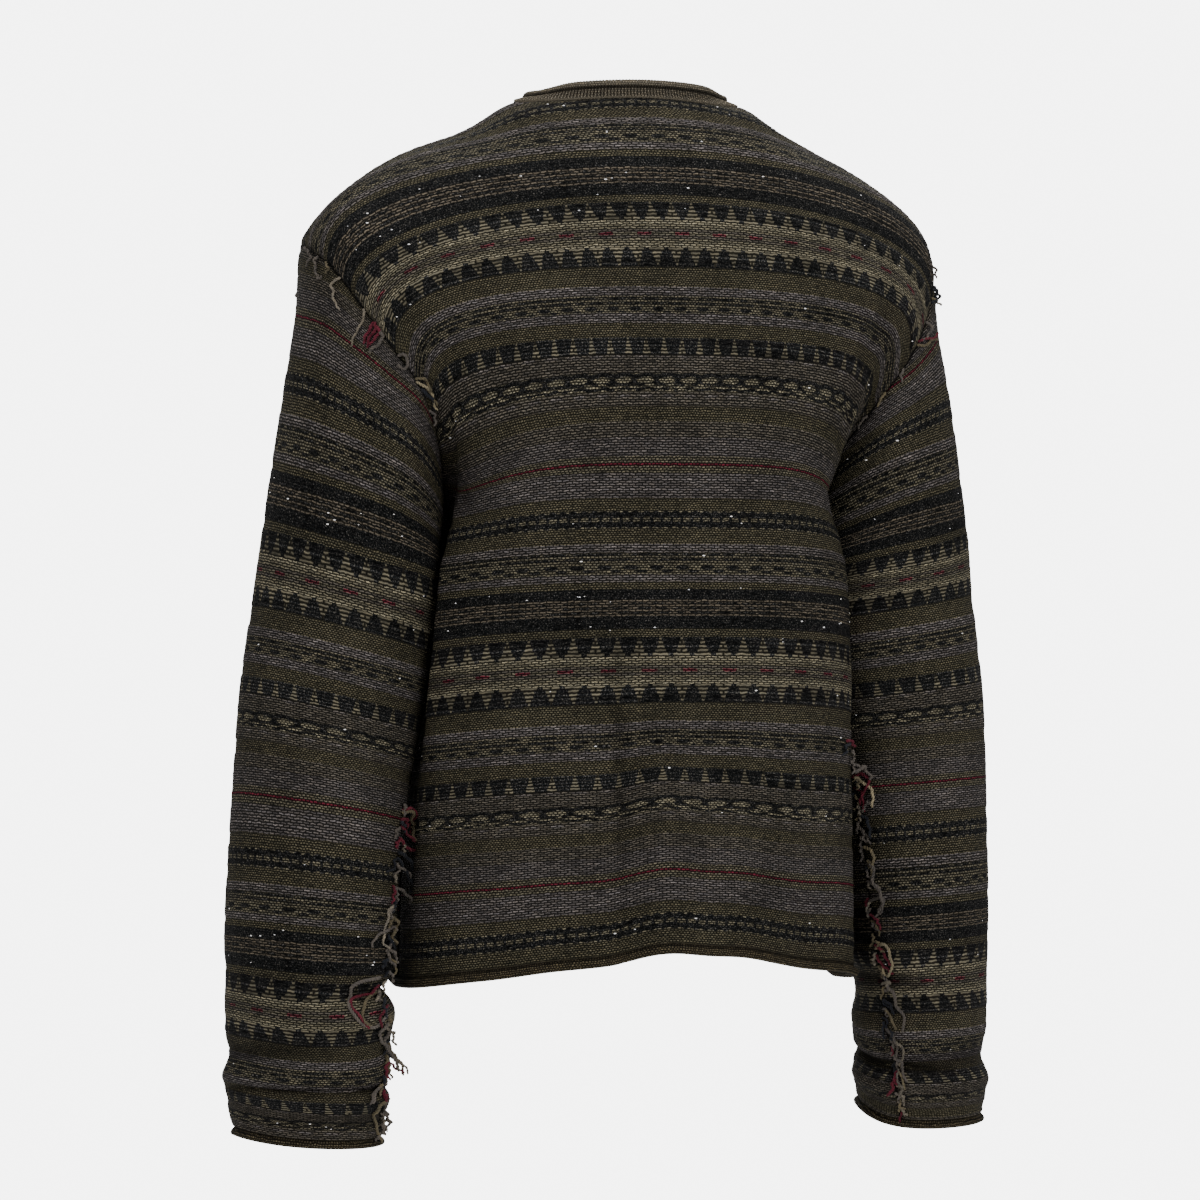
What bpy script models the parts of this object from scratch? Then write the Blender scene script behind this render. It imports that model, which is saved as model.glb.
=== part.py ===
"""A boxy fair isle sweater in the shape it has when it is worn.

The sweater hangs on shoulders and arms that are not there: it is a hollow form, open at the
neck, the hem and both cuffs.  Metres, +Z up.  The front faces -Y and the wearer's left is +X.
The origin is on the centre line at the base of the neck, level with the top of the shoulders.

Cloth coordinates: on a body panel u runs across from the centre line and v runs down from the
shoulder seam.  On a sleeve w runs down from the top of the sleeve.
"""

import math

import bmesh
import bpy
import numpy as np
from mathutils import Vector

# ---------------------------------------------------------------- driving sizes

WALL = 0.0024             # thickness of the doubled jacquard knit
SEAM_GAP = 0.0005         # clear space between two pieces where they are seamed
HALF_PANEL = 0.252        # half the width of the front and the back, laid flat
BACK_ARMHOLE = 0.300      # back armhole, measured down from the shoulder seam
FRONT_ARMHOLE = 0.280     # front armhole
BACK_LENGTH = 0.656       # back, shoulder seam to hem
FRONT_LENGTH = 0.646      # front, shoulder seam to hem
NECK_HALF_WIDTH = 0.075   # half the width of the neck scoop
BACK_NECK_DROP = 0.018    # depth of the scoop in the back
FRONT_NECK_DROP = 0.105   # depth of the scoop in the front
SLEEVE_LENGTH = 0.615     # sleeve, armhole to cuff, along its outer side
SLEEVE_CAP = 0.050        # how much shorter the sleeve is along its long seam
BAND_HEIGHT = 0.0095      # neckband, from its seam to the roll on its top
YARN = 0.0014             # thickness of a loose yarn end
YARN_STRIP = 0.0017       # width of the strip of yarn that a seam's ends grow from
YARN_LIFT = 0.0012        # how far the strip lies off the cloth

ARMHOLE_STEPS = 12        # rows of faces between shoulder seam and underarm
SIDE_STEPS = 12           # rows of faces between underarm and hem roll
SLEEVE_STEPS = 24         # rows of faces along a sleeve
NECK_COLUMNS = 6          # columns of faces in half the neck scoop
SHOULDER_COLUMNS = 6      # columns of faces between neck and armhole

# Armhole seam of the left side, round from the end of the shoulder seam: down the back to the
# underarm, then up the front.
ARMHOLE_SEAM = [
    # x, y, z
    (0.2240, -0.0380, -0.1050),
    (0.2285, 0.0030, -0.1080),
    (0.2220, 0.0400, -0.1220),
    (0.2090, 0.0640, -0.1480),
    (0.1900, 0.0800, -0.1790),
    (0.1680, 0.0780, -0.2090),
    (0.1470, 0.0430, -0.2480),
    (0.1400, -0.0020, -0.2680),
    (0.1470, -0.0520, -0.2540),
    (0.1660, -0.0890, -0.2150),
    (0.1900, -0.0960, -0.1720),
    (0.2130, -0.0740, -0.1320),
]
UNDERARM = 7              # place of the underarm in that list

# Rows of the back: how far down the row is, where it crosses the centre line, and how its
# width, depth and height leave there for the side (1 is an ellipse, less is boxier, more turns
# away sooner).
BACK_ROWS = [
    # v, y, z, width_power, depth_power, fall_power
    (0.000, 0.034, 0.010, 1.08, 4.20, 1.45),
    (0.018, 0.058, 0.000, 1.04, 4.20, 1.38),
    (0.040, 0.073, -0.015, 1.00, 4.20, 1.03),
    (0.065, 0.088, -0.036, 1.00, 2.80, 0.82),
    (0.113, 0.110, -0.077, 0.98, 1.80, 0.85),
    (0.170, 0.127, -0.132, 0.86, 1.10, 0.50),
    (0.216, 0.134, -0.176, 0.76, 0.80, 0.40),
    (0.294, 0.137, -0.258, 0.74, 0.76, 1.00),
    (0.413, 0.134, -0.376, 0.78, 0.78, 0.90),
    (0.511, 0.136, -0.469, 0.80, 0.80, 1.10),
    (0.594, 0.140, -0.542, 0.82, 0.82, 1.30),
    (0.656, 0.143, -0.600, 0.84, 0.84, 1.60),
]

FRONT_ROWS = [
    # v, y, z, width_power, depth_power, fall_power
    (0.000, 0.034, 0.010, 1.08, 4.20, 1.45),
    (0.050, -0.014, -0.028, 1.00, 3.50, 1.60),
    (0.105, -0.062, -0.068, 1.00, 2.00, 1.10),
    (0.180, -0.104, -0.131, 0.92, 1.10, 0.80),
    (0.255, -0.122, -0.203, 0.84, 0.90, 1.10),
    (0.350, -0.123, -0.298, 0.80, 0.80, 1.00),
    (0.450, -0.118, -0.394, 0.80, 0.80, 1.00),
    (0.550, -0.119, -0.490, 0.82, 0.82, 1.00),
    (0.646, -0.123, -0.583, 0.84, 0.84, 1.00),
]

# Side seam, from the underarm to the hem: where it would lie if no sleeve pressed on it.
SIDE_SEAM = [
    # share of its length, x, y, z
    (0.00, 0.1400, -0.002, -0.2680),
    (0.15, 0.1540, -0.002, -0.3270),
    (0.32, 0.1600, -0.004, -0.3920),
    (0.60, 0.1610, -0.004, -0.4850),
    (0.83, 0.1620, -0.003, -0.5590),
    (1.00, 0.1630, -0.002, -0.6220),
]

# Rings of the left sleeve, each one course of the knit: how far down the sleeve it is, its
# centre, its half widths across and along the body, how far it is turned, how much it climbs
# outwards and backwards, and how far the long seam lies round towards the back.
SLEEVE_RINGS = [
    # w, x, y, z, half_x, half_y, turn, climb_out, climb_back, seam_turn
    (0.000, 0.1860, -0.002, -0.136, 0.042, 0.080, 0, 0.58, -0.30, 24),
    (0.045, 0.1870, 0.000, -0.179, 0.045, 0.078, 0, 0.46, -0.24, 24),
    (0.082, 0.1890, 0.002, -0.219, 0.052, 0.076, 0, 0.33, -0.16, 23),
    (0.134, 0.1940, 0.001, -0.279, 0.058, 0.073, 0, 0.24, -0.08, 22),
    (0.170, 0.1980, 0.000, -0.321, 0.061, 0.070, -2, 0.20, -0.04, 21),
    (0.204, 0.2015, -0.003, -0.359, 0.062, 0.069, -4, 0.19, 0.00, 20),
    (0.267, 0.2110, -0.004, -0.421, 0.061, 0.069, -8, 0.18, 0.02, 20),
    (0.345, 0.2205, -0.003, -0.495, 0.055, 0.070, -15, 0.16, 0.05, 22),
    (0.433, 0.2270, -0.004, -0.585, 0.051, 0.070, -20, 0.11, 0.04, 28),
    (0.504, 0.2295, -0.004, -0.650, 0.047, 0.069, -22, 0.06, 0.02, 34),
    (0.567, 0.2290, -0.003, -0.699, 0.046, 0.067, -22, 0.04, 0.01, 40),
    (0.600, 0.2290, -0.002, -0.716, 0.045, 0.063, -22, 0.02, 0.00, 42),
    (0.615, 0.2285, -0.002, -0.727, 0.042, 0.058, -22, 0.01, 0.00, 42),
]
SLEEVE_SETTLE = 0.140     # length over which the sleeve leaves the shape of the armhole
UNDERARM_SAG = 0.011      # how far rows sag beside the underarm before they rise to the seam
SAG_LENGTH = 0.045        # how far from the underarm, up and down the panel, rows still sag
SLEEVE_ROOM = 0.0060      # room the pressed side leaves to the middle of the sleeve's wall
UNDERARM_ROOM = 0.0110    # what it leaves more near the underarm, where the sleeve stands inwards
PRESS_SOFTNESS = 0.004    # how softly the side gives way to the sleeve
PRESS_DEPTH = 0.018       # how far below the armhole seam the sleeve presses in full
NECK_HOLLOW = 0.0040      # how far the shoulders dip beside the neck
HOLLOW_AT = 0.118         # where they dip most, out from the centre line
HOLLOW_WIDTH = 0.032      # half width of that dip
RIGHT_CLIMB = 0.55        # the lower right sleeve hangs straighter: its courses climb less

# Long soft folds of the body: panel (1 is the back), where the fold lies across, where it
# starts and is full, its half width, how far it stands out, and how much it lifts the cloth.
BODY_FOLDS = [
    # panel, u, start, full, half_width, out, lift
    (1, 0.046, 0.410, 0.560, 0.020, -0.0080, -0.0010),
    (1, -0.004, 0.430, 0.570, 0.036, 0.0060, 0.0085),
    (1, -0.104, 0.480, 0.640, 0.030, -0.0050, -0.0015),
    (1, 0.128, 0.500, 0.640, 0.030, -0.0040, -0.0010),
    (-1, -0.052, 0.400, 0.560, 0.024, -0.0070, 0.0000),
    (-1, 0.010, 0.420, 0.580, 0.040, 0.0060, 0.0050),
    (-1, 0.092, 0.440, 0.620, 0.028, -0.0060, 0.0000),
    (-1, -0.140, 0.500, 0.640, 0.030, 0.0040, 0.0000),
]

# Folds round the sleeves where the cloth bunches over the hand: which sleeve (1 is the left),
# how far down, the share of the way round at the fold's middle, half lengths along the sleeve
# and round it, and how far it stands out.
SLEEVE_FOLDS = [
    # sleeve, w, share, half_down, half_round, out
    (1, 0.528, 0.10, 0.012, 0.26, -0.0045),
    (1, 0.552, 0.20, 0.013, 0.30, 0.0040),
    (1, 0.575, 0.32, 0.010, 0.22, -0.0040),
    (1, 0.500, 0.42, 0.016, 0.20, 0.0035),
    (1, 0.470, 0.75, 0.020, 0.25, -0.0040),
    (-1, 0.540, 0.34, 0.014, 0.24, -0.0040),
    (-1, 0.565, 0.22, 0.012, 0.28, 0.0030),
    (-1, 0.505, 0.40, 0.018, 0.20, 0.0035),
    (-1, 0.480, 0.72, 0.020, 0.25, -0.0040),
]

# The rolled edge of hem and cuff: how far above the edge a row lies, and how far the wall
# reaches out and in there.
ROLLED_EDGE = [
    # up, out, in
    (0.0062, 0.0012, 0.0012),
    (0.0050, 0.0040, 0.0012),
    (0.0026, 0.0050, 0.0014),
    (0.0000, 0.0034, 0.0006),
]

# Section of the neckband, right round: how far outside the seam line and how far up it is.
BAND_SECTION = [
    # out, up
    (0.0015, 0.0000),
    (0.0017, 0.0050),
    (0.0019, 0.0093),
    (0.0046, 0.0106),
    (0.0054, 0.0134),
    (0.0034, 0.0158),
    (0.0002, 0.0158),
    (-0.0016, 0.0134),
    (-0.0015, 0.0050),
    (-0.0015, 0.0000),
]
BAND_LEAN = 0.35          # how far the band leans in over the neck, as a share of its rise

# Loose yarn ends left outside on the seams, each a thin lock with its root in a strip of yarn.
ARMHOLE_ENDS = 14         # on the back half of an armhole and the front half together
ARMHOLE_REACH = 0.67      # share of each half of the armhole that carries them
SLEEVE_ENDS = 24          # along the long seam of a sleeve
SLEEVE_ENDS_FROM = 0.54   # share of the sleeve where they start
SLEEVE_ENDS_TO = 0.955    # share of the sleeve where they stop

COLLECTION = "fair_isle_sweater"


# ---------------------------------------------------------------- curves and tables

def ease(value):
    """Go smoothly from 0 to 1 while value goes from 0 to 1."""
    value = np.clip(value, 0.0, 1.0)
    return value * value * (3.0 - 2.0 * value)


def track(table, column):
    """Return a smooth function of a table's first column that passes through one other column."""
    x = np.array([row[0] for row in table], dtype=float)
    y = np.array([row[column] for row in table], dtype=float)
    step = np.diff(x)
    slope = np.diff(y) / step
    tangent = np.zeros(len(x))
    tangent[0] = slope[0]
    tangent[-1] = slope[-1]
    for i in range(1, len(x) - 1):
        weight = step[i] / (step[i - 1] + step[i])
        tangent[i] = weight * slope[i - 1] + (1.0 - weight) * slope[i]

    def value(at):
        at = np.clip(np.asarray(at, dtype=float), x[0], x[-1])
        i = np.clip(np.searchsorted(x, at, side="right") - 1, 0, len(x) - 2)
        h = step[i]
        t = (at - x[i]) / h
        start = (1.0 + 2.0 * t) * (1.0 - t) ** 2 * y[i] + t * (1.0 - t) ** 2 * h * tangent[i]
        end = t * t * (3.0 - 2.0 * t) * y[i + 1] + t * t * (t - 1.0) * h * tangent[i + 1]
        return start + end

    return value


def closed_curve(points, per_span=40):
    """Return dense points of a smooth closed curve through the given ones."""
    points = np.array(points, dtype=float)
    count = len(points)
    dense = []
    for i in range(count):
        p0 = points[i - 1]
        p1 = points[i]
        p2 = points[(i + 1) % count]
        p3 = points[(i + 2) % count]
        for k in range(per_span):
            t = k / per_span
            dense.append(0.5 * (2.0 * p1 + (p2 - p0) * t
                                + (2.0 * p0 - 5.0 * p1 + 4.0 * p2 - p3) * t ** 2
                                + (3.0 * p1 - p0 - 3.0 * p2 + p3) * t ** 3))
    return np.array(dense)


def along(points, shares):
    """Return the points that lie at these shares of a polyline's length."""
    lengths = np.linalg.norm(np.diff(points, axis=0), axis=1)
    total = np.concatenate([[0.0], np.cumsum(lengths)])
    total = total / total[-1]
    return np.stack([np.interp(shares, total, points[:, k]) for k in range(3)], axis=-1)


# ---------------------------------------------------------------- the armhole

PER_SPAN = 40
ARMHOLE_CURVE = closed_curve(ARMHOLE_SEAM, PER_SPAN)
BACK_HALF = ARMHOLE_CURVE[:UNDERARM * PER_SPAN + 1]
FRONT_HALF = np.vstack([ARMHOLE_CURVE[UNDERARM * PER_SPAN:], ARMHOLE_CURVE[:1]])[::-1]


def armhole_point(side, v):
    """Return the point of the armhole seam that lies v down from the shoulder seam."""
    if side > 0:
        return along(BACK_HALF, v / BACK_ARMHOLE)
    return along(FRONT_HALF, v / FRONT_ARMHOLE)


# ---------------------------------------------------------------- the sleeve

RING = {name: track(SLEEVE_RINGS, column + 1) for column, name in enumerate(
    ("x", "y", "z", "half_x", "half_y", "turn", "climb_out", "climb_back", "seam_turn"))}


def ring_point(w, share, climb=1.0):
    """Return the point of the sleeve's course w at this share of the way round it."""
    angle = 2.0 * math.pi * share - np.radians(RING["seam_turn"](w))
    across = RING["half_x"](w) * np.cos(angle)
    deep = RING["half_y"](w) * np.sin(angle)
    turn = np.radians(RING["turn"](w))
    x = across * np.cos(turn) + deep * np.sin(turn)
    y = deep * np.cos(turn) - across * np.sin(turn)
    climb = 1.0 + (climb - 1.0) * ease((w - 0.20) / 0.10)
    z = RING["z"](w) + climb * x * RING["climb_out"](w) + y * RING["climb_back"](w)
    return np.stack([RING["x"](w) + x, RING["y"](w) + y, z], axis=-1)


def sleeve_top(share):
    """Return how far down the cloth of the sleeve its top edge lies, at this share round it."""
    return SLEEVE_CAP * ((1.0 - math.cos(2.0 * math.pi * share)) / 2.0) ** 1.2


def sleeve_point(side, share, w):
    """Return the point of a sleeve at this share of the way round it and this far down it."""
    top = sleeve_top(share)
    if share <= 0.5:
        seam = armhole_point(1, BACK_ARMHOLE * 2.0 * share)
    else:
        seam = armhole_point(-1, FRONT_ARMHOLE * 2.0 * (1.0 - share))
    climb = 1.0 if side > 0 else RIGHT_CLIMB
    pull = seam - ring_point(top, share)
    point = ring_point(w, share, climb) + pull * (1.0 - ease((w - top) / SLEEVE_SETTLE))
    centre = np.array([RING["x"](w), RING["y"](w), point[2]])
    out = 0.0
    for sleeve, fold_w, fold_share, half_down, half_round, depth in SLEEVE_FOLDS:
        if sleeve == side:
            across = (share - fold_share + 0.5) % 1.0 - 0.5
            out += depth * math.exp(-((w - fold_w) / half_down) ** 2 - (across / half_round) ** 2)
    away = (point - centre) / np.linalg.norm(point - centre)
    point = point + away * out
    point[0] *= side
    return point


def sleeve_inner_x(y, z):
    """Return how near to the body the left sleeve comes, at this depth and height."""
    rows = np.linspace(0.0, SLEEVE_LENGTH, 200)
    heights = RING["z"](rows) - RING["half_x"](rows) * RING["climb_out"](rows)
    w = np.interp(-z, -heights, rows)
    turn = np.radians(RING["turn"](w))
    room = SLEEVE_ROOM + UNDERARM_ROOM * (1.0 - ease((w - SLEEVE_CAP) / SLEEVE_SETTLE))
    half_x = RING["half_x"](w) + room
    half_y = RING["half_y"](w) + room
    xx = (half_x * np.cos(turn)) ** 2 + (half_y * np.sin(turn)) ** 2
    yy = (half_x * np.sin(turn)) ** 2 + (half_y * np.cos(turn)) ** 2
    xy = (half_y ** 2 - half_x ** 2) * np.sin(turn) * np.cos(turn)
    deep = y - RING["y"](w)
    reach = np.sqrt(np.maximum(0.0, (xx - xy ** 2 / yy) * (1.0 - deep ** 2 / yy)))
    return RING["x"](w) + xy / yy * deep - reach


# ---------------------------------------------------------------- the body

BODY = {}
for panel_side, panel_rows in ((1, BACK_ROWS), (-1, FRONT_ROWS)):
    BODY[panel_side] = {name: track(panel_rows, column + 1) for column, name in enumerate(
        ("y", "z", "width", "depth", "fall"))}
SIDE = {name: track(SIDE_SEAM, column + 1) for column, name in enumerate(("x", "y", "z"))}


def row_end(side, v):
    """Return where a row ends at the side: on the armhole seam or on the side seam."""
    armhole = BACK_ARMHOLE if side > 0 else FRONT_ARMHOLE
    length = BACK_LENGTH if side > 0 else FRONT_LENGTH
    if v <= armhole:
        return armhole_point(side, v)
    share = (v - armhole) / (length - armhole)
    return np.array([SIDE["x"](share), SIDE["y"](share), SIDE["z"](share)])


def body_row(side, v, shares):
    """Return points of a body row, at these shares of its half width, on the left side."""
    rule = BODY[side]
    armhole = BACK_ARMHOLE if side > 0 else FRONT_ARMHOLE
    end = row_end(side, v)
    angle = np.linspace(0.0, math.pi / 2.0, 241)
    sine = np.sin(angle)
    cosine = np.clip(np.cos(angle), 0.0, 1.0)
    x = end[0] * sine ** rule["width"](v)
    y = end[1] + (rule["y"](v) - end[1]) * cosine ** rule["depth"](v)
    z = end[2] + (rule["z"](v) - end[2]) * cosine ** rule["fall"](v)
    turned = angle / (math.pi / 2.0)
    sag = UNDERARM_SAG * math.exp(-((v - armhole) / SAG_LENGTH) ** 2)
    z = z - sag * 12.2 * turned ** 4 * (1.0 - turned)
    hollow = NECK_HOLLOW * (1.0 - ease(v / 0.08))
    z = z - hollow * np.exp(-((x - HOLLOW_AT) / HOLLOW_WIDTH) ** 2)
    half = BACK_HALF if side > 0 else FRONT_HALF
    lower = half[np.abs(half[:, 1]).argmax():]
    order = np.argsort(lower[:, 1])
    seam_z = np.interp(y, lower[order, 1], lower[order, 2])
    press = ease((seam_z - z) / PRESS_DEPTH)
    over = (x - sleeve_inner_x(y, z)) / PRESS_SOFTNESS
    x = x - press * PRESS_SOFTNESS * np.logaddexp(0.0, over)
    return along(np.stack([x, y, z], axis=-1), shares)


def fold_shift(side, u, v, point):
    """Return how far the long folds move a point of the body."""
    out = 0.0
    lift = 0.0
    for panel, across, start, full, half_width, depth, rise in BODY_FOLDS:
        if panel == side:
            share = ease((v - start) / (full - start)) * math.exp(-((u - across) / half_width) ** 2)
            out += depth * share
            lift += rise * share
    away = np.array([point[0], point[1], 0.0])
    return away / np.linalg.norm(away) * out + np.array([0.0, 0.0, lift])


def body_point(side, u, v):
    """Return a point of a panel from its cloth coordinates; a negative u is the right side."""
    point = body_row(side, v, np.array([abs(u) / HALF_PANEL]))[0]
    if u < 0.0:
        point[0] = -point[0]
    return point + fold_shift(side, u, v, point)


def neck_edge(side, u):
    """Return how far down the panel its neck scoop reaches at u."""
    drop = BACK_NECK_DROP if side > 0 else FRONT_NECK_DROP
    share = min(1.0, abs(u) / NECK_HALF_WIDTH)
    return drop * math.sqrt(max(0.0, 1.0 - share ** 2))


def panel_columns():
    """Return the places of the panel's columns, from the right side to the left."""
    neck = [NECK_HALF_WIDTH * math.sin(0.5 * math.pi * k / NECK_COLUMNS)
            for k in range(NECK_COLUMNS + 1)]
    shoulder = [NECK_HALF_WIDTH + (HALF_PANEL - NECK_HALF_WIDTH) * k / SHOULDER_COLUMNS
                for k in range(1, SHOULDER_COLUMNS + 1)]
    half = neck + shoulder
    return [-u for u in half[:0:-1]] + half


def panel_rows(side):
    """Return the places of the panel's rows, from the shoulder seam to the hem."""
    armhole = BACK_ARMHOLE if side > 0 else FRONT_ARMHOLE
    length = BACK_LENGTH if side > 0 else FRONT_LENGTH
    upper = [armhole * k / ARMHOLE_STEPS for k in range(ARMHOLE_STEPS + 1)]
    rolled = [1.0 - row[0] / (BACK_LENGTH - BACK_ARMHOLE) for row in ROLLED_EDGE]
    shares = [rolled[0] * k / SIDE_STEPS for k in range(1, SIDE_STEPS)] + rolled
    return upper + [armhole + (length - armhole) * share for share in shares]


def panel_grid(side):
    """Return the grid of points in the middle of a panel's wall, row by row."""
    armhole = BACK_ARMHOLE if side > 0 else FRONT_ARMHOLE
    grid = []
    for v in panel_rows(side):
        row = []
        for u in panel_columns():
            edge = neck_edge(side, u)
            down = edge + v * (1.0 - edge / armhole) if v < armhole else v
            row.append(body_point(side, u, down))
        grid.append(row)
    return np.array(grid)


def sleeve_rows(share):
    """Return the places of a sleeve's rows at this share of the way round, top edge to cuff."""
    top = sleeve_top(share)
    straight = SLEEVE_LENGTH - ROLLED_EDGE[0][0]
    steps = [k / SLEEVE_STEPS for k in range(SLEEVE_STEPS)]
    rows = [top + (straight - top) * step * (1.4 - 0.4 * step) for step in steps]
    return rows + [SLEEVE_LENGTH - row[0] for row in ROLLED_EDGE]


def sleeve_grid(side):
    """Return the grid of points in the middle of a sleeve's wall; side 1 is the left sleeve."""
    shares = [0.5 * k / ARMHOLE_STEPS for k in range(2 * ARMHOLE_STEPS)]
    columns = [[sleeve_point(side, share, w) for w in sleeve_rows(share)] for share in shares]
    return np.array(columns).transpose(1, 0, 2)


# ---------------------------------------------------------------- walls

def unit(vectors):
    """Return vectors at length 1."""
    return vectors / np.maximum(np.linalg.norm(vectors, axis=-1, keepdims=True), 1e-12)


def grid_normals(grid, closed, flip):
    """Return a normal at each point of a grid, summed from the faces round it."""
    normals = np.zeros_like(grid)
    rows, columns = grid.shape[:2]
    for i in range(rows - 1):
        for j in range(columns if closed else columns - 1):
            corners = [(i, j), (i, (j + 1) % columns), (i + 1, (j + 1) % columns), (i + 1, j)]
            a, b, c, d = (grid[corner] for corner in corners)
            normal = np.cross(c - a, d - b)
            for corner in corners:
                normals[corner] += normal
    return unit(normals) * (-1.0 if flip else 1.0)


def edge_normals(points, inside, normals, closed):
    """Return the normals of an edge's cloth, square to the edge and facing out like the given."""
    if closed:
        tangent = np.roll(points, -1, axis=0) - np.roll(points, 1, axis=0)
    else:
        tangent = np.gradient(points, axis=0)
    square = unit(np.cross(unit(tangent), inside - points))
    return square * np.sign(np.sum(square * normals, axis=-1, keepdims=True))


def share_seam_normals(pieces):
    """Give points that pieces share at a seam one normal; pieces: back, front, left, right."""
    for piece in pieces:
        grid = piece["grid"]
        own = piece["normals"]
        edge = own.copy()
        edge[0] = edge_normals(grid[0], grid[1], own[0], piece["closed"])
        if not piece["closed"]:
            for column, inner in ((0, 1), (-1, -2)):
                inside = grid[:, inner] + np.vstack([grid[1:, inner], grid[-1:, inner]])
                edge[:, column] = edge_normals(grid[:, column], inside / 2.0, own[:, column], False)
        piece["edge"] = edge
    points = np.concatenate([piece["grid"].reshape(-1, 3) for piece in pieces])
    normals = np.concatenate([piece["edge"].reshape(-1, 3) for piece in pieces])
    mean = normals.copy()
    on_edge = np.concatenate([edge_mask(piece).reshape(-1) for piece in pieces])
    for index in np.flatnonzero(on_edge):
        near = on_edge & (np.abs(points - points[index]).max(axis=1) < 1e-5)
        mean[index] = normals[near].sum(axis=0)
    mean = unit(mean)
    start = 0
    for piece in pieces:
        size = piece["grid"].size // 3
        piece["normals"] = mean[start:start + size].reshape(piece["grid"].shape)
        start += size
    back, front = pieces[:2]
    k = ARMHOLE_STEPS
    for sleeve, column in ((pieces[2], -1), (pieces[3], 0)):
        around = sleeve["grid"][0, k + 1] - sleeve["grid"][0, k - 1]
        side_seam = back["grid"][k + 1, column] - back["grid"][k, column]
        square = unit(np.cross(around, side_seam))
        square *= np.sign(square @ back["normals"][k + 1, column])
        corner = unit(sleeve["edge"][0, k] + square)
        sleeve["normals"][0, k] = corner
        back["normals"][k, column] = corner
        front["normals"][k, column] = corner


def edge_mask(piece):
    """Return which points of a piece's grid lie on its edges."""
    mask = np.zeros(piece["grid"].shape[:2], dtype=bool)
    mask[0, :] = True
    if not piece["closed"]:
        mask[:, 0] = True
        mask[:, -1] = True
    return mask


def trim(points, normals, inside, closed):
    """Return a seam edge moved half the seam gap back into its own piece."""
    if closed:
        tangent = np.roll(points, -1, axis=0) - np.roll(points, 1, axis=0)
    else:
        tangent = np.gradient(points, axis=0)
    back = unit(np.cross(normals, tangent))
    if np.sum(back * (inside - points)) < 0.0:
        back = -back
    return points + back * SEAM_GAP / 2.0


def trim_piece(piece, edges):
    """Open the seam gap along the named edges of a piece."""
    old = piece["grid"].copy()
    grid = piece["grid"]
    normals = piece["normals"]
    if "top" in edges:
        grid[0] += trim(old[0], normals[0], old[1], piece["closed"]) - old[0]
    if "left" in edges:
        grid[:, -1] += trim(old[:, -1], normals[:, -1], old[:, -2], False) - old[:, -1]
    if "right" in edges:
        grid[:, 0] += trim(old[:, 0], normals[:, 0], old[:, 1], False) - old[:, 0]
        for column, inner in ((0, 1), (-1, -2)):
            inwards = unit(old[ARMHOLE_STEPS, inner] - old[ARMHOLE_STEPS, column])
            grid[ARMHOLE_STEPS, column] += inwards * SEAM_GAP / 2.0


def wall_reach(row_count):
    """Return how far the wall reaches out and in at each row, with the rolled edge at the end."""
    out = np.full(row_count, WALL / 2.0)
    back = np.full(row_count, WALL / 2.0)
    for k, (up, row_out, row_in) in enumerate(ROLLED_EDGE):
        out[row_count - len(ROLLED_EDGE) + k] = row_out
        back[row_count - len(ROLLED_EDGE) + k] = row_in
    return out[:, None, None], back[:, None, None]


def add_object(name, points, faces, material, collection):
    """Make a mesh object from points and faces, with its faces turned outwards."""
    mesh = bpy.data.meshes.new(name)
    mesh.from_pydata([tuple(point) for point in points], [], faces)
    shape = bmesh.new()
    shape.from_mesh(mesh)
    bmesh.ops.recalc_face_normals(shape, faces=shape.faces)
    shape.to_mesh(mesh)
    shape.free()
    mesh.materials.append(material)
    mesh.shade_smooth()
    item = bpy.data.objects.new(name, mesh)
    collection.objects.link(item)
    return item


def add_wall(piece, material, collection):
    """Make the solid wall of a piece from the grid in its middle."""
    grid = piece["grid"]
    rows, columns = grid.shape[:2]
    out, back = wall_reach(rows)
    outer = grid + piece["normals"] * out
    inner = grid - piece["normals"] * back
    points = np.concatenate([outer.reshape(-1, 3), inner.reshape(-1, 3)])
    shift = rows * columns
    faces = []
    spans = columns if piece["closed"] else columns - 1
    for i in range(rows - 1):
        for j in range(spans):
            a = i * columns + j
            b = i * columns + (j + 1) % columns
            c = b + columns
            d = a + columns
            middle = grid.reshape(-1, 3)
            if np.linalg.norm(middle[a] - middle[c]) <= np.linalg.norm(middle[b] - middle[d]):
                halves = ((a, b, c), (a, c, d))
            else:
                halves = ((a, b, d), (b, c, d))
            for half in halves:
                faces.append(half)
                faces.append(tuple(corner + shift for corner in half[::-1]))
    for j in range(spans):
        a = j
        b = (j + 1) % columns
        faces.append((b, a, a + shift, b + shift))
        a += (rows - 1) * columns
        b += (rows - 1) * columns
        faces.append((a, b, b + shift, a + shift))
    if not piece["closed"]:
        for i in range(rows - 1):
            a = i * columns
            b = a + columns
            faces.append((a, b, b + shift, a + shift))
            a += columns - 1
            b += columns - 1
            faces.append((b, a, a + shift, b + shift))
    return add_object(piece["name"], points, faces, material, collection)


# ---------------------------------------------------------------- the neckband

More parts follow.
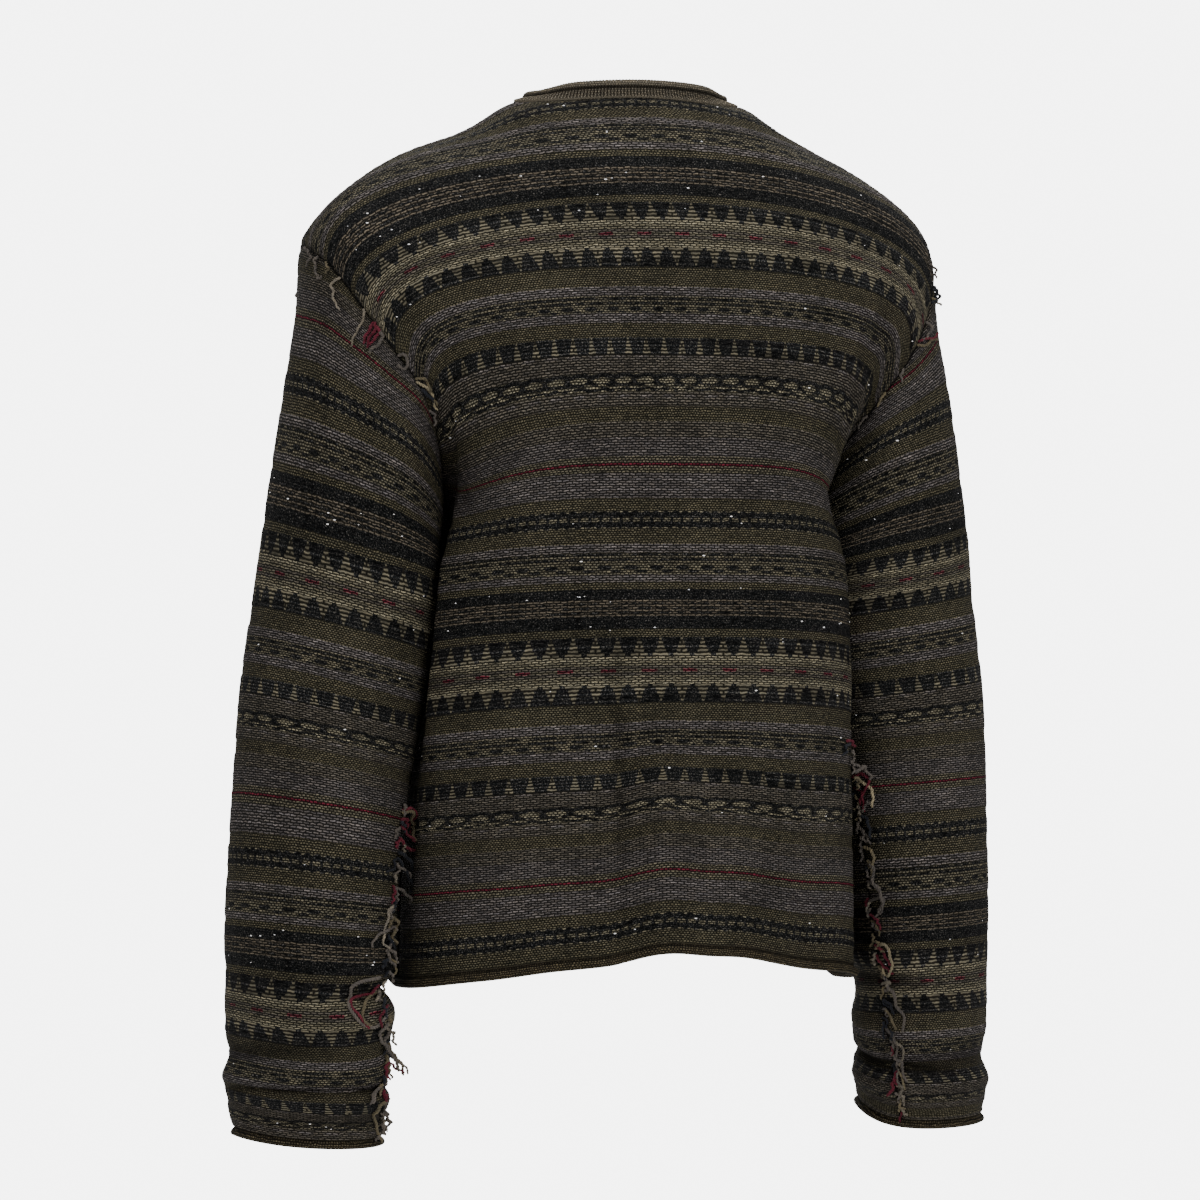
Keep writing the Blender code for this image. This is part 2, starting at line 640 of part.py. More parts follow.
def add_neckband(back, front, material, collection):
    """Make the neckband on the neck edges of the back and the front."""
    columns = panel_columns()
    scoop = [k for k, u in enumerate(columns) if abs(u) <= NECK_HALF_WIDTH + 1e-9]
    seam = [(back, k) for k in scoop] + [(front, k) for k in scoop[-2:0:-1]]
    foot = np.array([piece["grid"][0, k] for piece, k in seam])
    normal = np.array([piece["normals"][0, k] for piece, k in seam])
    around = unit(np.roll(foot, -1, axis=0) - np.roll(foot, 1, axis=0))
    along_cloth = unit(np.cross(around, normal))
    along_cloth *= np.sign(np.sum(along_cloth[:, 2]))
    inward = np.array([0.0, 0.0, 0.0]) - foot
    inward[:, 2] = 0.0
    rise = unit(unit(inward) * BAND_LEAN + np.array([0.0, 0.0, 1.0]))
    rings = []
    for out, up in BAND_SECTION:
        bend = ease(up / BAND_HEIGHT)
        lean = unit(along_cloth * (1.0 - bend) + rise * bend)
        outward = unit(np.cross(lean, around))
        outward *= np.sign(np.sum(outward * normal, axis=1))[:, None]
        rings.append(foot + lean * (up + SEAM_GAP) + outward * out)
    rings = np.array(rings)
    count = len(seam)
    faces = []
    for i in range(len(rings)):
        for j in range(count):
            a = i * count + j
            b = i * count + (j + 1) % count
            c = (i + 1) % len(rings) * count + (j + 1) % count
            d = (i + 1) % len(rings) * count + j
            faces.append((a, b, c, d))
    return add_object("neckband", rings.reshape(-1, 3), faces, material, collection)


# ---------------------------------------------------------------- loose yarn ends

def swing(vector, start, end):
    """Return a vector turned by the smallest turn that takes direction start to direction end."""
    turn = Vector(start).rotation_difference(Vector(end))
    return np.array(turn @ Vector(vector))


def add_yarn_ends(name, path, normals, hang, ends, seed, material, collection):
    """Make a strip of yarn along a path on the cloth, with loose ends that grow from it."""
    rng = np.random.default_rng(seed)
    lengths = np.concatenate([[0.0], np.cumsum(np.linalg.norm(np.diff(path, axis=0), axis=1))])
    roots = lengths[-1] * (np.arange(ends) + 0.5 + 0.25 * rng.uniform(-1.0, 1.0, ends)) / ends
    edges = np.concatenate([roots - YARN_STRIP / 2.0, roots + YARN_STRIP / 2.0])
    clear = [length for length in lengths if np.abs(edges - length).min() > YARN_STRIP / 2.0]
    clear = [length for length in clear if np.abs(roots - length).min() > YARN_STRIP / 2.0]
    stops = np.array(sorted(clear + edges.tolist()))
    middle = np.stack([np.interp(stops, lengths, path[:, k]) for k in range(3)], axis=-1)
    normal = unit(np.stack([np.interp(stops, lengths, normals[:, k]) for k in range(3)], axis=-1))
    tangent = unit(np.gradient(middle, axis=0))
    side = unit(np.cross(tangent, normal))
    foot = middle + normal * (WALL / 2.0 + YARN_LIFT)
    points = []
    for k in range(len(stops)):
        for across, up in ((-0.5, 0.0), (0.5, 0.0), (0.5, 1.0), (-0.5, 1.0)):
            points.append(foot[k] + side[k] * across * YARN_STRIP + normal[k] * up * YARN)
    faces = [(3, 2, 1, 0)]
    last = (len(stops) - 1) * 4
    faces.append((last, last + 1, last + 2, last + 3))
    spread = ((-1.0, 0.3, 1.4), (0.0, 1.6, 0.2), (1.0, 0.9, 0.8))
    number = 0
    for k in range(len(stops) - 1):
        a = k * 4
        b = a + 4
        for i, j in ((0, 1), (1, 2), (3, 0)):
            faces.append((a + i, a + j, b + j, b + i))
        if np.abs(roots - 0.5 * (stops[k] + stops[k + 1])).min() > YARN_STRIP / 4.0:
            faces.append((a + 2, a + 3, b + 3, b + 2))
            continue
        reach = hang["length"] * rng.uniform(0.65, 1.2)
        sway, lift, lean = spread[number % 3]
        number += 1
        if middle[k, 2] > hang["free"]:
            reach *= 0.45
            lift *= 0.25
            lean = 1.4
        ring = [a + 2, a + 3, b + 3, b + 2]
        centre = np.mean([points[i] for i in ring], axis=0)
        down = np.array([0.0, 0.0, -1.0])
        down = down - normal[k] * (down @ normal[k])
        fall = unit(unit(down) + side[k] * hang["sway"] * sway + normal[k] * hang["lift"] * lift
                    + hang["lean"] * lean)
        leave = unit(normal[k] * hang["stand"] + hang["lean"] * lean)
        heading = normal[k]
        across = side[k]
        other = tangent[k]
        steps = ((normal[k], YARN_STRIP, 0.9), (unit(leave + fall), 0.5 * reach, 0.8),
                 (fall, 0.5 * reach, 0.6))
        for new, stretch, size in steps:
            across = swing(across, heading, new)
            other = swing(other, heading, new)
            heading = new
            centre = centre + heading * stretch
            base = len(points)
            for i, j in ((1, -1), (-1, -1), (-1, 1), (1, 1)):
                points.append(centre + (across * i + other * j) * size * YARN / 2.0)
            for i in range(4):
                j = (i + 1) % 4
                faces.append((ring[i], ring[j], base + j, base + i))
            ring = [base, base + 1, base + 2, base + 3]
        faces.append(tuple(ring))
    return add_object(name, points, faces, material, collection)


# ---------------------------------------------------------------- the whole sweater

def knit(name, colour):
    """Make the material of a piece: wool of one mean colour."""
    material = bpy.data.materials.new(name)
    material.use_nodes = True
    shader = material.node_tree.nodes["Principled BSDF"]
    shader.inputs["Base Color"].default_value = (*colour, 1.0)
    shader.inputs["Roughness"].default_value = 0.9
    shader.inputs["Metallic"].default_value = 0.0
    material.diffuse_color = (*colour, 1.0)
    return material


def main():
    """Make the sweater's pieces in a collection of their own."""
    for item in list(bpy.data.objects):
        bpy.data.objects.remove(item)
    collection = bpy.data.collections.new(COLLECTION)
    bpy.context.scene.collection.children.link(collection)
    body_wool = knit("body_wool", (0.034, 0.029, 0.023))
    sleeve_wool = knit("sleeve_wool", (0.038, 0.032, 0.025))
    rib_wool = knit("rib_wool", (0.052, 0.043, 0.026))
    end_wool = knit("end_wool", (0.110, 0.090, 0.065))

    back = {"name": "back", "grid": panel_grid(1), "closed": False, "flip": False}
    front = {"name": "front", "grid": panel_grid(-1), "closed": False, "flip": True}
    left = {"name": "sleeve_left", "grid": sleeve_grid(1), "closed": True, "flip": True}
    right = {"name": "sleeve_right", "grid": sleeve_grid(-1), "closed": True, "flip": False}
    pieces = [back, front, left, right]
    for piece in pieces:
        piece["normals"] = grid_normals(piece["grid"], piece["closed"], piece["flip"])
    share_seam_normals(pieces)
    for piece in (back, front):
        trim_piece(piece, ("top", "left", "right"))
        add_wall(piece, body_wool, collection)
    for piece in (left, right):
        trim_piece(piece, ("top",))
        add_wall(piece, sleeve_wool, collection)
    add_neckband(back, front, rib_wool, collection)

    reach = int(round(ARMHOLE_STEPS * ARMHOLE_REACH))
    first = int(round(SLEEVE_STEPS * SLEEVE_ENDS_FROM))
    last = int(round(SLEEVE_STEPS * SLEEVE_ENDS_TO))
    for sleeve, side, word in ((left, 1, "left"), (right, -1, "right")):
        ring = [k % (2 * ARMHOLE_STEPS) for k in range(-reach, reach + 1)]
        add_yarn_ends("armhole_fringe_" + word, sleeve["grid"][0, ring], sleeve["normals"][0, ring],
                      {"length": 0.015, "sway": 0.5, "stand": 1.0, "lift": 0.5,
                       "lean": np.zeros(3), "free": 0.0},
                      ARMHOLE_ENDS, 11 + side, end_wool, collection)
        rows = slice(first, last + 1)
        add_yarn_ends("sleeve_fringe_" + word, sleeve["grid"][rows, ARMHOLE_STEPS],
                      sleeve["normals"][rows, ARMHOLE_STEPS],
                      {"length": 0.019, "sway": 0.0, "stand": 0.5, "lift": 0.4,
                       "lean": np.array([0.0, 0.9, 0.0]), "free": -0.64},
                      SLEEVE_ENDS, 31 + side, end_wool, collection)


main()
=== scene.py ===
# %% [markdown]
# # A fair isle sweater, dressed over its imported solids
# The sweater is a boxy, drop-shouldered pullover in doubled jacquard wool.  It keeps its worn
# shape here as a hollow form with open neck, hem and cuffs.  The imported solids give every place
# and size, and this script lays fine cloth over them, draws the stitches in the shader, and adds
# what is too small for solids: ribs, yarn ends and neps.

import math

import bmesh
import bpy
import numpy as np
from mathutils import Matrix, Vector
from mathutils.kdtree import KDTree


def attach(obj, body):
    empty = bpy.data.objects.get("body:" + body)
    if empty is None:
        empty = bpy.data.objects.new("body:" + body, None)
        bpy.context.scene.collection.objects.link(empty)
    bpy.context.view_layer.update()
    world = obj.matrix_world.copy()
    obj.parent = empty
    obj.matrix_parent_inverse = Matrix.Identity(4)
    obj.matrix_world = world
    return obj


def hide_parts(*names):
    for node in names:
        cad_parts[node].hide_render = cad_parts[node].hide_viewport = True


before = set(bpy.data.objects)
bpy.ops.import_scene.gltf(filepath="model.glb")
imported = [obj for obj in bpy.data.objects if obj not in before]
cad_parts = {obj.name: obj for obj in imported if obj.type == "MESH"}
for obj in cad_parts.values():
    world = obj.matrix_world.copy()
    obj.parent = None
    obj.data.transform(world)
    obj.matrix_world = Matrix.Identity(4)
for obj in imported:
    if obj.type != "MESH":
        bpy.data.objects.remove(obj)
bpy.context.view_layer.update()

# %% [markdown]
# ## The shape of the cloth
# A knitter thinks in cloth coordinates: how far across the panel, and how far down from the
# shoulder seam.  The same tables as in the solids turn those into points in space.  A table of
# a few rows and a smooth curve through them is used, because each row can be read and corrected
# like a pattern maker's measurement.

# %% Sizes of the garment, in metres
WALL = 0.0024
HALF_PANEL = 0.252
ARMHOLE = {1: 0.300, -1: 0.280}        # 1 is the back, -1 the front
LENGTH = {1: 0.656, -1: 0.646}
NECK_HALF_WIDTH = 0.075
NECK_DROP = {1: 0.018, -1: 0.105}
SLEEVE_LENGTH = 0.615
SLEEVE_CAP = 0.050
BAND_HEIGHT = 0.0095
BAND_LEAN = {"back": 0.30, "side": 3.5, "most": 2.2}

ARMHOLE_SEAM = [
    # x, y, z, from the shoulder down the back to the underarm and up the front
    (0.2240, -0.0380, -0.1050), (0.2285, 0.0030, -0.1080), (0.2220, 0.0400, -0.1220),
    (0.2090, 0.0640, -0.1480), (0.1900, 0.0800, -0.1790), (0.1680, 0.0780, -0.2090),
    (0.1470, 0.0430, -0.2480), (0.1400, -0.0020, -0.2680), (0.1470, -0.0520, -0.2540),
    (0.1660, -0.0890, -0.2150), (0.1900, -0.0960, -0.1720), (0.2130, -0.0740, -0.1320),
]
UNDERARM = 7
PANEL_ROWS = {
    1: [
        # v, y, z, width_power, depth_power, fall_power
        (0.000, 0.034, 0.010, 1.08, 4.20, 1.45),
        (0.018, 0.058, 0.000, 1.04, 4.20, 1.38),
        (0.040, 0.073, -0.015, 1.00, 4.20, 1.03),
        (0.065, 0.088, -0.036, 1.00, 2.80, 0.82),
        (0.113, 0.110, -0.077, 0.98, 1.80, 0.85),
        (0.170, 0.127, -0.132, 0.86, 1.10, 0.50),
        (0.216, 0.134, -0.176, 0.76, 0.80, 0.40),
        (0.294, 0.137, -0.258, 0.74, 0.76, 1.00),
        (0.413, 0.134, -0.376, 0.78, 0.78, 0.90),
        (0.511, 0.136, -0.469, 0.80, 0.80, 1.10),
        (0.594, 0.140, -0.542, 0.82, 0.82, 1.30),
        (0.656, 0.143, -0.600, 0.84, 0.84, 1.60),
    ],
    -1: [
        (0.000, 0.034, 0.010, 1.08, 4.20, 1.45),
        (0.050, -0.014, -0.028, 1.00, 3.50, 1.60),
        (0.105, -0.062, -0.068, 1.00, 2.00, 1.10),
        (0.180, -0.104, -0.131, 0.92, 1.10, 0.80),
        (0.255, -0.122, -0.203, 0.84, 0.90, 1.10),
        (0.350, -0.123, -0.298, 0.80, 0.80, 1.00),
        (0.450, -0.118, -0.394, 0.80, 0.80, 1.00),
        (0.550, -0.119, -0.490, 0.82, 0.82, 1.00),
        (0.646, -0.123, -0.583, 0.84, 0.84, 1.00),
    ],
}
SIDE_SEAM = [
    # share of its length, x, y, z
    (0.00, 0.1400, -0.002, -0.2680), (0.15, 0.1540, -0.002, -0.3270),
    (0.32, 0.1600, -0.004, -0.3920), (0.60, 0.1610, -0.004, -0.4850),
    (0.83, 0.1620, -0.003, -0.5590), (1.00, 0.1630, -0.002, -0.6220),
]
SLEEVE_RINGS = [
    # w, x, y, z, half_x, half_y, turn, climb_out, climb_back, seam_turn
    (0.000, 0.1860, -0.002, -0.136, 0.042, 0.080, 0, 0.58, -0.30, 24),
    (0.045, 0.1870, 0.000, -0.179, 0.045, 0.078, 0, 0.46, -0.24, 24),
    (0.082, 0.1890, 0.002, -0.219, 0.052, 0.076, 0, 0.33, -0.16, 23),
    (0.134, 0.1940, 0.001, -0.279, 0.058, 0.073, 0, 0.24, -0.08, 22),
    (0.170, 0.1980, 0.000, -0.321, 0.061, 0.070, -2, 0.20, -0.04, 21),
    (0.204, 0.2015, -0.003, -0.359, 0.062, 0.069, -4, 0.19, 0.00, 20),
    (0.267, 0.2110, -0.004, -0.421, 0.061, 0.069, -8, 0.18, 0.02, 20),
    (0.345, 0.2205, -0.003, -0.495, 0.055, 0.070, -15, 0.16, 0.05, 22),
    (0.433, 0.2270, -0.004, -0.585, 0.051, 0.070, -20, 0.11, 0.04, 28),
    (0.504, 0.2295, -0.004, -0.650, 0.047, 0.069, -22, 0.06, 0.02, 34),
    (0.567, 0.2290, -0.003, -0.699, 0.046, 0.067, -22, 0.04, 0.01, 40),
    (0.600, 0.2290, -0.002, -0.716, 0.045, 0.063, -22, 0.02, 0.00, 42),
    (0.615, 0.2285, -0.002, -0.727, 0.042, 0.058, -22, 0.01, 0.00, 42),
]
RING_COLUMNS = ("x", "y", "z", "half_x", "half_y", "turn", "climb_out", "climb_back",
                "seam_turn")
SLEEVE_SETTLE = 0.140                  # how far down a sleeve's rows follow the armhole
UNDERARM_SAG = 0.011                   # how deep the rows of the body sag beside the underarm
SAG_LENGTH = 0.045
SAG_PEAK = 12.2                        # brings the curve of the sag to 1 at its deepest
SLEEVE_ROOM = 0.0060                   # how far the body stays from a sleeve beside it
UNDERARM_ROOM = 0.0110                 # the same near the underarm, on top of that
PRESS_SOFTNESS = 0.004
PRESS_DEPTH = 0.018
NECK_HOLLOW = {1: 0.0062, -1: 0.0008}  # 1 is the left side, -1 the right
HOLLOW_AT = 0.118                      # x of the hollow between neck and shoulder
HOLLOW_WIDTH = 0.032
HOLLOW_LENGTH = 0.08
NECK_SPREAD = (0.0050, 0.0020)         # how far out and up the cloth beside the neck is pushed
SPREAD_AT = 0.078
SPREAD_SIZE = (0.024, 0.035)           # half width and half length of that push
RIGHT_CLIMB = 0.55                     # share of the rows' outer climb that the right sleeve has
CLIMB_SETTLES = (0.20, 0.10)           # w where that share starts, and over what length
BODY_FOLDS = [
    # panel, u, start, full, half_width, out, lift
    (1, 0.046, 0.410, 0.560, 0.020, -0.0080, -0.0010),
    (1, 0.014, 0.430, 0.570, 0.030, 0.0060, 0.0075),
    (1, -0.036, 0.430, 0.570, 0.030, 0.0010, 0.0040),
    (1, -0.104, 0.480, 0.640, 0.030, -0.0050, -0.0015),
    (1, 0.128, 0.500, 0.640, 0.030, -0.0040, -0.0010),
    (-1, -0.052, 0.400, 0.560, 0.024, -0.0070, 0.0000),
    (-1, 0.010, 0.420, 0.580, 0.040, 0.0060, 0.0050),
    (-1, 0.092, 0.440, 0.620, 0.028, -0.0060, 0.0000),
    (-1, -0.140, 0.500, 0.640, 0.030, 0.0040, 0.0000),
]
SLEEVE_FOLDS = [
    # sleeve, w, share, half_down, half_round, out
    (1, 0.528, 0.10, 0.012, 0.26, -0.0045), (1, 0.552, 0.20, 0.013, 0.30, 0.0040),
    (1, 0.575, 0.32, 0.010, 0.22, -0.0040), (1, 0.500, 0.42, 0.016, 0.20, 0.0035),
    (1, 0.470, 0.75, 0.020, 0.25, -0.0040), (-1, 0.540, 0.34, 0.014, 0.24, -0.0040),
    (-1, 0.565, 0.22, 0.012, 0.28, 0.0030), (-1, 0.505, 0.40, 0.018, 0.20, 0.0035),
    (-1, 0.480, 0.72, 0.020, 0.25, -0.0040),
]
print("garment tables:", len(PANEL_ROWS[1]), "back rows,", len(SLEEVE_RINGS), "sleeve rings")


# %% Smooth curves through the tables
def ease(value):
    """Go smoothly from 0 to 1 while value goes from 0 to 1."""
    value = np.clip(value, 0.0, 1.0)
    return value * value * (3.0 - 2.0 * value)


def unit(vectors):
    """Return vectors at length 1."""
    return vectors / np.maximum(np.linalg.norm(vectors, axis=-1, keepdims=True), 1e-12)


def track(table, column):
    """Return a smooth function of a table's first column through one other column."""
    x = np.array([row[0] for row in table], dtype=float)
    y = np.array([row[column] for row in table], dtype=float)
    step = np.diff(x)
    slope = np.diff(y) / step
    tangent = np.zeros(len(x))
    tangent[0] = slope[0]
    tangent[-1] = slope[-1]
    for i in range(1, len(x) - 1):
        weight = step[i] / (step[i - 1] + step[i])
        tangent[i] = weight * slope[i - 1] + (1.0 - weight) * slope[i]

    def value(at):
        at = np.clip(np.asarray(at, dtype=float), x[0], x[-1])
        i = np.clip(np.searchsorted(x, at, side="right") - 1, 0, len(x) - 2)
        h = step[i]
        t = (at - x[i]) / h
        start = (1.0 + 2.0 * t) * (1.0 - t) ** 2 * y[i] + t * (1.0 - t) ** 2 * h * tangent[i]
        end = t * t * (3.0 - 2.0 * t) * y[i + 1] + t * t * (t - 1.0) * h * tangent[i + 1]
        return start + end

    return value


def closed_curve(points, per_span):
    """Return dense points of a smooth closed curve through the given ones."""
    points = np.array(points, dtype=float)
    t = (np.arange(per_span) / per_span)[None, :, None]
    p0, p1, p2, p3 = (np.roll(points, shift, axis=0)[:, None, :] for shift in (1, 0, -1, -2))
    dense = 0.5 * (2.0 * p1 + (p2 - p0) * t + (2.0 * p0 - 5.0 * p1 + 4.0 * p2 - p3) * t ** 2
                   + (3.0 * p1 - p0 - 3.0 * p2 + p3) * t ** 3)
    return dense.reshape(-1, 3)


def along(points, shares):
    """Return the points that lie at these shares of a polyline's length."""
    lengths = np.linalg.norm(np.diff(points, axis=0), axis=1)
    total = np.concatenate([[0.0], np.cumsum(lengths)])
    total = total / total[-1]
    return np.stack([np.interp(shares, total, points[:, k]) for k in range(3)], axis=-1)


PER_SPAN = 40
ARMHOLE_CURVE = closed_curve(ARMHOLE_SEAM, PER_SPAN)
ARMHOLE_HALF = {
    1: ARMHOLE_CURVE[:UNDERARM * PER_SPAN + 1],
    -1: np.vstack([ARMHOLE_CURVE[UNDERARM * PER_SPAN:], ARMHOLE_CURVE[:1]])[::-1],
}
RING = {name: track(SLEEVE_RINGS, column + 1) for column, name in enumerate(RING_COLUMNS)}
SIDE = {name: track(SIDE_SEAM, column + 1) for column, name in enumerate(("x", "y", "z"))}
BODY = {side: {name: track(rows, column + 1) for column, name in enumerate(
    ("y", "z", "width", "depth", "fall"))} for side, rows in PANEL_ROWS.items()}
armhole_length = np.linalg.norm(np.diff(ARMHOLE_CURVE, axis=0), axis=1).sum()
print("armhole seam:", round(float(armhole_length), 3), "m")

# %% [markdown]
# ## Creases
# Worn knitwear has few sharp folds: it makes long soft troughs from the underarms and above the
# hem, and short deep ones where a sleeve is pushed up at its cuff.  Each crease here is a line in
# cloth coordinates with a width and a depth, so it can be placed unevenly, as cloth falls.  The
# hidden front gets similar ones.

# %% Creases laid one by one
BODY_CREASES = [
    # panel, u0, v0, u1, v1, half_width, out
    (1, 0.215, 0.262, 0.150, 0.330, 0.012, -0.0022),
    (1, 0.232, 0.300, 0.170, 0.385, 0.010, 0.0014),
    (1, -0.220, 0.255, -0.160, 0.320, 0.012, -0.0022),
    (1, -0.196, 0.150, -0.170, 0.280, 0.010, -0.0020),
    (1, -0.225, 0.330, -0.190, 0.470, 0.012, -0.0016),
    (1, 0.180, 0.440, 0.205, 0.600, 0.012, 0.0016),
    (1, 0.090, 0.520, 0.075, 0.650, 0.012, 0.0016),
    (1, -0.060, 0.560, -0.070, 0.655, 0.012, -0.0020),
    (1, 0.048, 0.340, 0.044, 0.656, 0.0055, -0.0030),
    (1, 0.063, 0.380, 0.060, 0.620, 0.006, 0.0012),
    (1, -0.150, 0.060, -0.080, 0.035, 0.010, -0.0012),
    (-1, 0.210, 0.240, 0.120, 0.320, 0.014, -0.0025),
    (-1, -0.205, 0.245, -0.130, 0.330, 0.014, -0.0025),
    (-1, 0.190, 0.330, 0.120, 0.420, 0.014, 0.0018),
    (-1, -0.060, 0.470, -0.080, 0.640, 0.012, -0.0020),
    (-1, 0.040, 0.500, 0.055, 0.640, 0.013, 0.0020),
    (-1, 0.150, 0.520, 0.165, 0.640, 0.012, -0.0018),
]
SLEEVE_CREASES = [
    # sleeve, share0, w0, share1, w1, half_width, out; a share is 0 on top and 0.5 at the seam
    (1, -0.02, 0.100, 0.02, 0.200, 0.006, -0.0012),
    (1, 0.30, 0.100, 0.12, 0.160, 0.012, -0.0018),
    (1, 0.46, 0.150, 0.25, 0.260, 0.013, 0.0016),
    (1, 0.30, 0.476, 0.56, 0.462, 0.0056, -0.0085),
    (1, 0.26, 0.492, 0.54, 0.482, 0.009, 0.0050),
    (1, 0.12, 0.512, 0.40, 0.520, 0.010, -0.0026),
    (1, 0.06, 0.538, 0.52, 0.528, 0.009, 0.0050),
    (1, 0.03, 0.558, 0.54, 0.546, 0.0050, -0.0085),
    (1, 0.10, 0.576, 0.50, 0.566, 0.008, 0.0044),
    (1, 0.16, 0.594, 0.50, 0.588, 0.006, -0.0030),
    (1, -0.20, 0.505, 0.02, 0.500, 0.010, -0.0022),
    (-1, 0.30, 0.110, 0.16, 0.180, 0.012, -0.0018),
    (-1, 0.66, 0.462, 0.40, 0.474, 0.008, -0.0044),
    (-1, 0.68, 0.500, 0.42, 0.512, 0.009, 0.0034),
    (-1, 0.70, 0.535, 0.36, 0.552, 0.006, -0.0070),
    (-1, 0.68, 0.566, 0.40, 0.576, 0.007, 0.0034),
    (-1, 0.34, 0.520, 0.22, 0.530, 0.008, -0.0020),
    (-1, -0.24, 0.500, 0.00, 0.510, 0.010, -0.0022),
]


CREASE_END = 0.35                      # share of its depth that a crease keeps at its ends


def crease(x, y, x0, y0, x1, y1, half_width, out):
    """Return how far one soft crease moves the cloth, fading towards its ends."""
    length = math.hypot(x1 - x0, y1 - y0)
    run = ((x - x0) * (x1 - x0) + (y - y0) * (y1 - y0)) / length ** 2
    off = ((x - x0) * (y1 - y0) - (y - y0) * (x1 - x0)) / length
    beyond = np.maximum(0.0, np.abs(run - 0.5) - 0.5) * length
    fade = CREASE_END + (1.0 - CREASE_END) * np.sin(np.clip(run, 0.0, 1.0) * math.pi)
    return out * fade * np.exp(-(off / half_width) ** 2 - (beyond / (1.5 * half_width)) ** 2)


print("creases:", len(BODY_CREASES), "on the body,", len(SLEEVE_CREASES), "on the sleeves")


# %% Points of the body
def row_end(side, v):
    """Return where a row ends at the side: on the armhole seam or on the side seam."""
    if v <= ARMHOLE[side]:
        return along(ARMHOLE_HALF[side], v / ARMHOLE[side])
    share = (v - ARMHOLE[side]) / (LENGTH[side] - ARMHOLE[side])
    return np.array([SIDE["x"](share), SIDE["y"](share), SIDE["z"](share)])


ROW_POINTS = 241
SLEEVE_TABLE_W = np.linspace(0.0, SLEEVE_LENGTH, 200)
SLEEVE_TABLE_Z = (RING["z"](SLEEVE_TABLE_W)
                  - RING["half_x"](SLEEVE_TABLE_W) * RING["climb_out"](SLEEVE_TABLE_W))


def sleeve_inner_x(y, z):
    """Return how near to the body the left sleeve comes, at this depth and height."""
    w = np.interp(-z, -SLEEVE_TABLE_Z, SLEEVE_TABLE_W)
    turn = np.radians(RING["turn"](w))
    room = SLEEVE_ROOM + UNDERARM_ROOM * (1.0 - ease((w - SLEEVE_CAP) / SLEEVE_SETTLE))
    half_x = RING["half_x"](w) + room
    half_y = RING["half_y"](w) + room
    xx = (half_x * np.cos(turn)) ** 2 + (half_y * np.sin(turn)) ** 2
    yy = (half_x * np.sin(turn)) ** 2 + (half_y * np.cos(turn)) ** 2
    xy = (half_y ** 2 - half_x ** 2) * np.sin(turn) * np.cos(turn)
    deep = y - RING["y"](w)
    reach = np.sqrt(np.maximum(0.0, (xx - xy ** 2 / yy) * (1.0 - deep ** 2 / yy)))
    return RING["x"](w) + xy / yy * deep - reach


def body_row(side, v, shares):
    """Return points of a body row, at these shares of its half width, on the left side."""
    rule = BODY[side]
    end = row_end(side, v)
    angle = np.linspace(0.0, math.pi / 2.0, ROW_POINTS)
    sine = np.sin(angle)
    cosine = np.clip(np.cos(angle), 0.0, 1.0)
    x = end[0] * sine ** rule["width"](v)
    y = end[1] + (rule["y"](v) - end[1]) * cosine ** rule["depth"](v)
    z = end[2] + (rule["z"](v) - end[2]) * cosine ** rule["fall"](v)
    turned = angle / (math.pi / 2.0)
    sag = UNDERARM_SAG * math.exp(-((v - ARMHOLE[side]) / SAG_LENGTH) ** 2)
    z = z - sag * SAG_PEAK * turned ** 4 * (1.0 - turned)
    half = ARMHOLE_HALF[side]
    lower = half[np.abs(half[:, 1]).argmax():]
    order = np.argsort(lower[:, 1])
    seam_z = np.interp(y, lower[order, 1], lower[order, 2])
    press = ease((seam_z - z) / PRESS_DEPTH)
    over = (x - sleeve_inner_x(y, z)) / PRESS_SOFTNESS
    x = x - press * PRESS_SOFTNESS * np.logaddexp(0.0, over)
    return along(np.stack([x, y, z], axis=-1), shares)


def neck_edge(side, u):
    """Return how far down the panel its neck scoop reaches at each u."""
    share = np.minimum(1.0, np.abs(u) / NECK_HALF_WIDTH)
    return NECK_DROP[side] * np.sqrt(np.maximum(0.0, 1.0 - share ** 2))


NECK_COLUMNS = 34
SHOULDER_COLUMNS = 84
half_neck = NECK_HALF_WIDTH * np.sin(0.5 * math.pi * np.arange(NECK_COLUMNS + 1) / NECK_COLUMNS)
half_shoulder = np.linspace(NECK_HALF_WIDTH, HALF_PANEL, SHOULDER_COLUMNS + 1)[1:]
HALF_COLUMNS = np.concatenate([half_neck, half_shoulder])
PANEL_COLUMNS = np.concatenate([-HALF_COLUMNS[:0:-1], HALF_COLUMNS])
print("columns of stitches across a panel:", len(PANEL_COLUMNS) - 1)

# %% [markdown]
# ## One way to make every cloth piece
# A knitted panel is a thin double wall.  The script places a fine net of points on the outside,
# rolls it round at the hem or cuff, and brings it back up inside with fewer rows, because the
# inside needs no detail.  At a seam the wall thins to nothing, so two pieces meet in a small
# valley, as sewn knitwear does.

# %% The cloth builder
ROLL = [
    # up from the edge, out from the middle of the wall
    (0.0076, 0.0012), (0.0067, 0.0005), (0.0060, 0.0021), (0.0050, 0.0037), (0.0036, 0.0047),
    (0.0020, 0.0047), (0.0008, 0.0036), (0.0001, 0.0018), (0.0002, -0.0004), (0.0014, -0.0012),
    (0.0045, -0.0012),
]
STRAIGHT_UP = 0.0086
SEAM_VALLEY = 0.0042
INSIDE_STEP = 4
STITCH_RELIEF = 0.00013
SEAM_SHADE_WIDTH = 0.003                      # how wide the painted shade in the valley beside a seam is
ROLL_GROOVE_SHADE = (0.5, 1.0, 0.6)            # how dark the painted shade on the first rows of the roll is, in its groove
FOLD_SHADE = 1.0                       # how dark the painted shade in the bottom of a fold is
FOLD_DEPTH = 0.0060


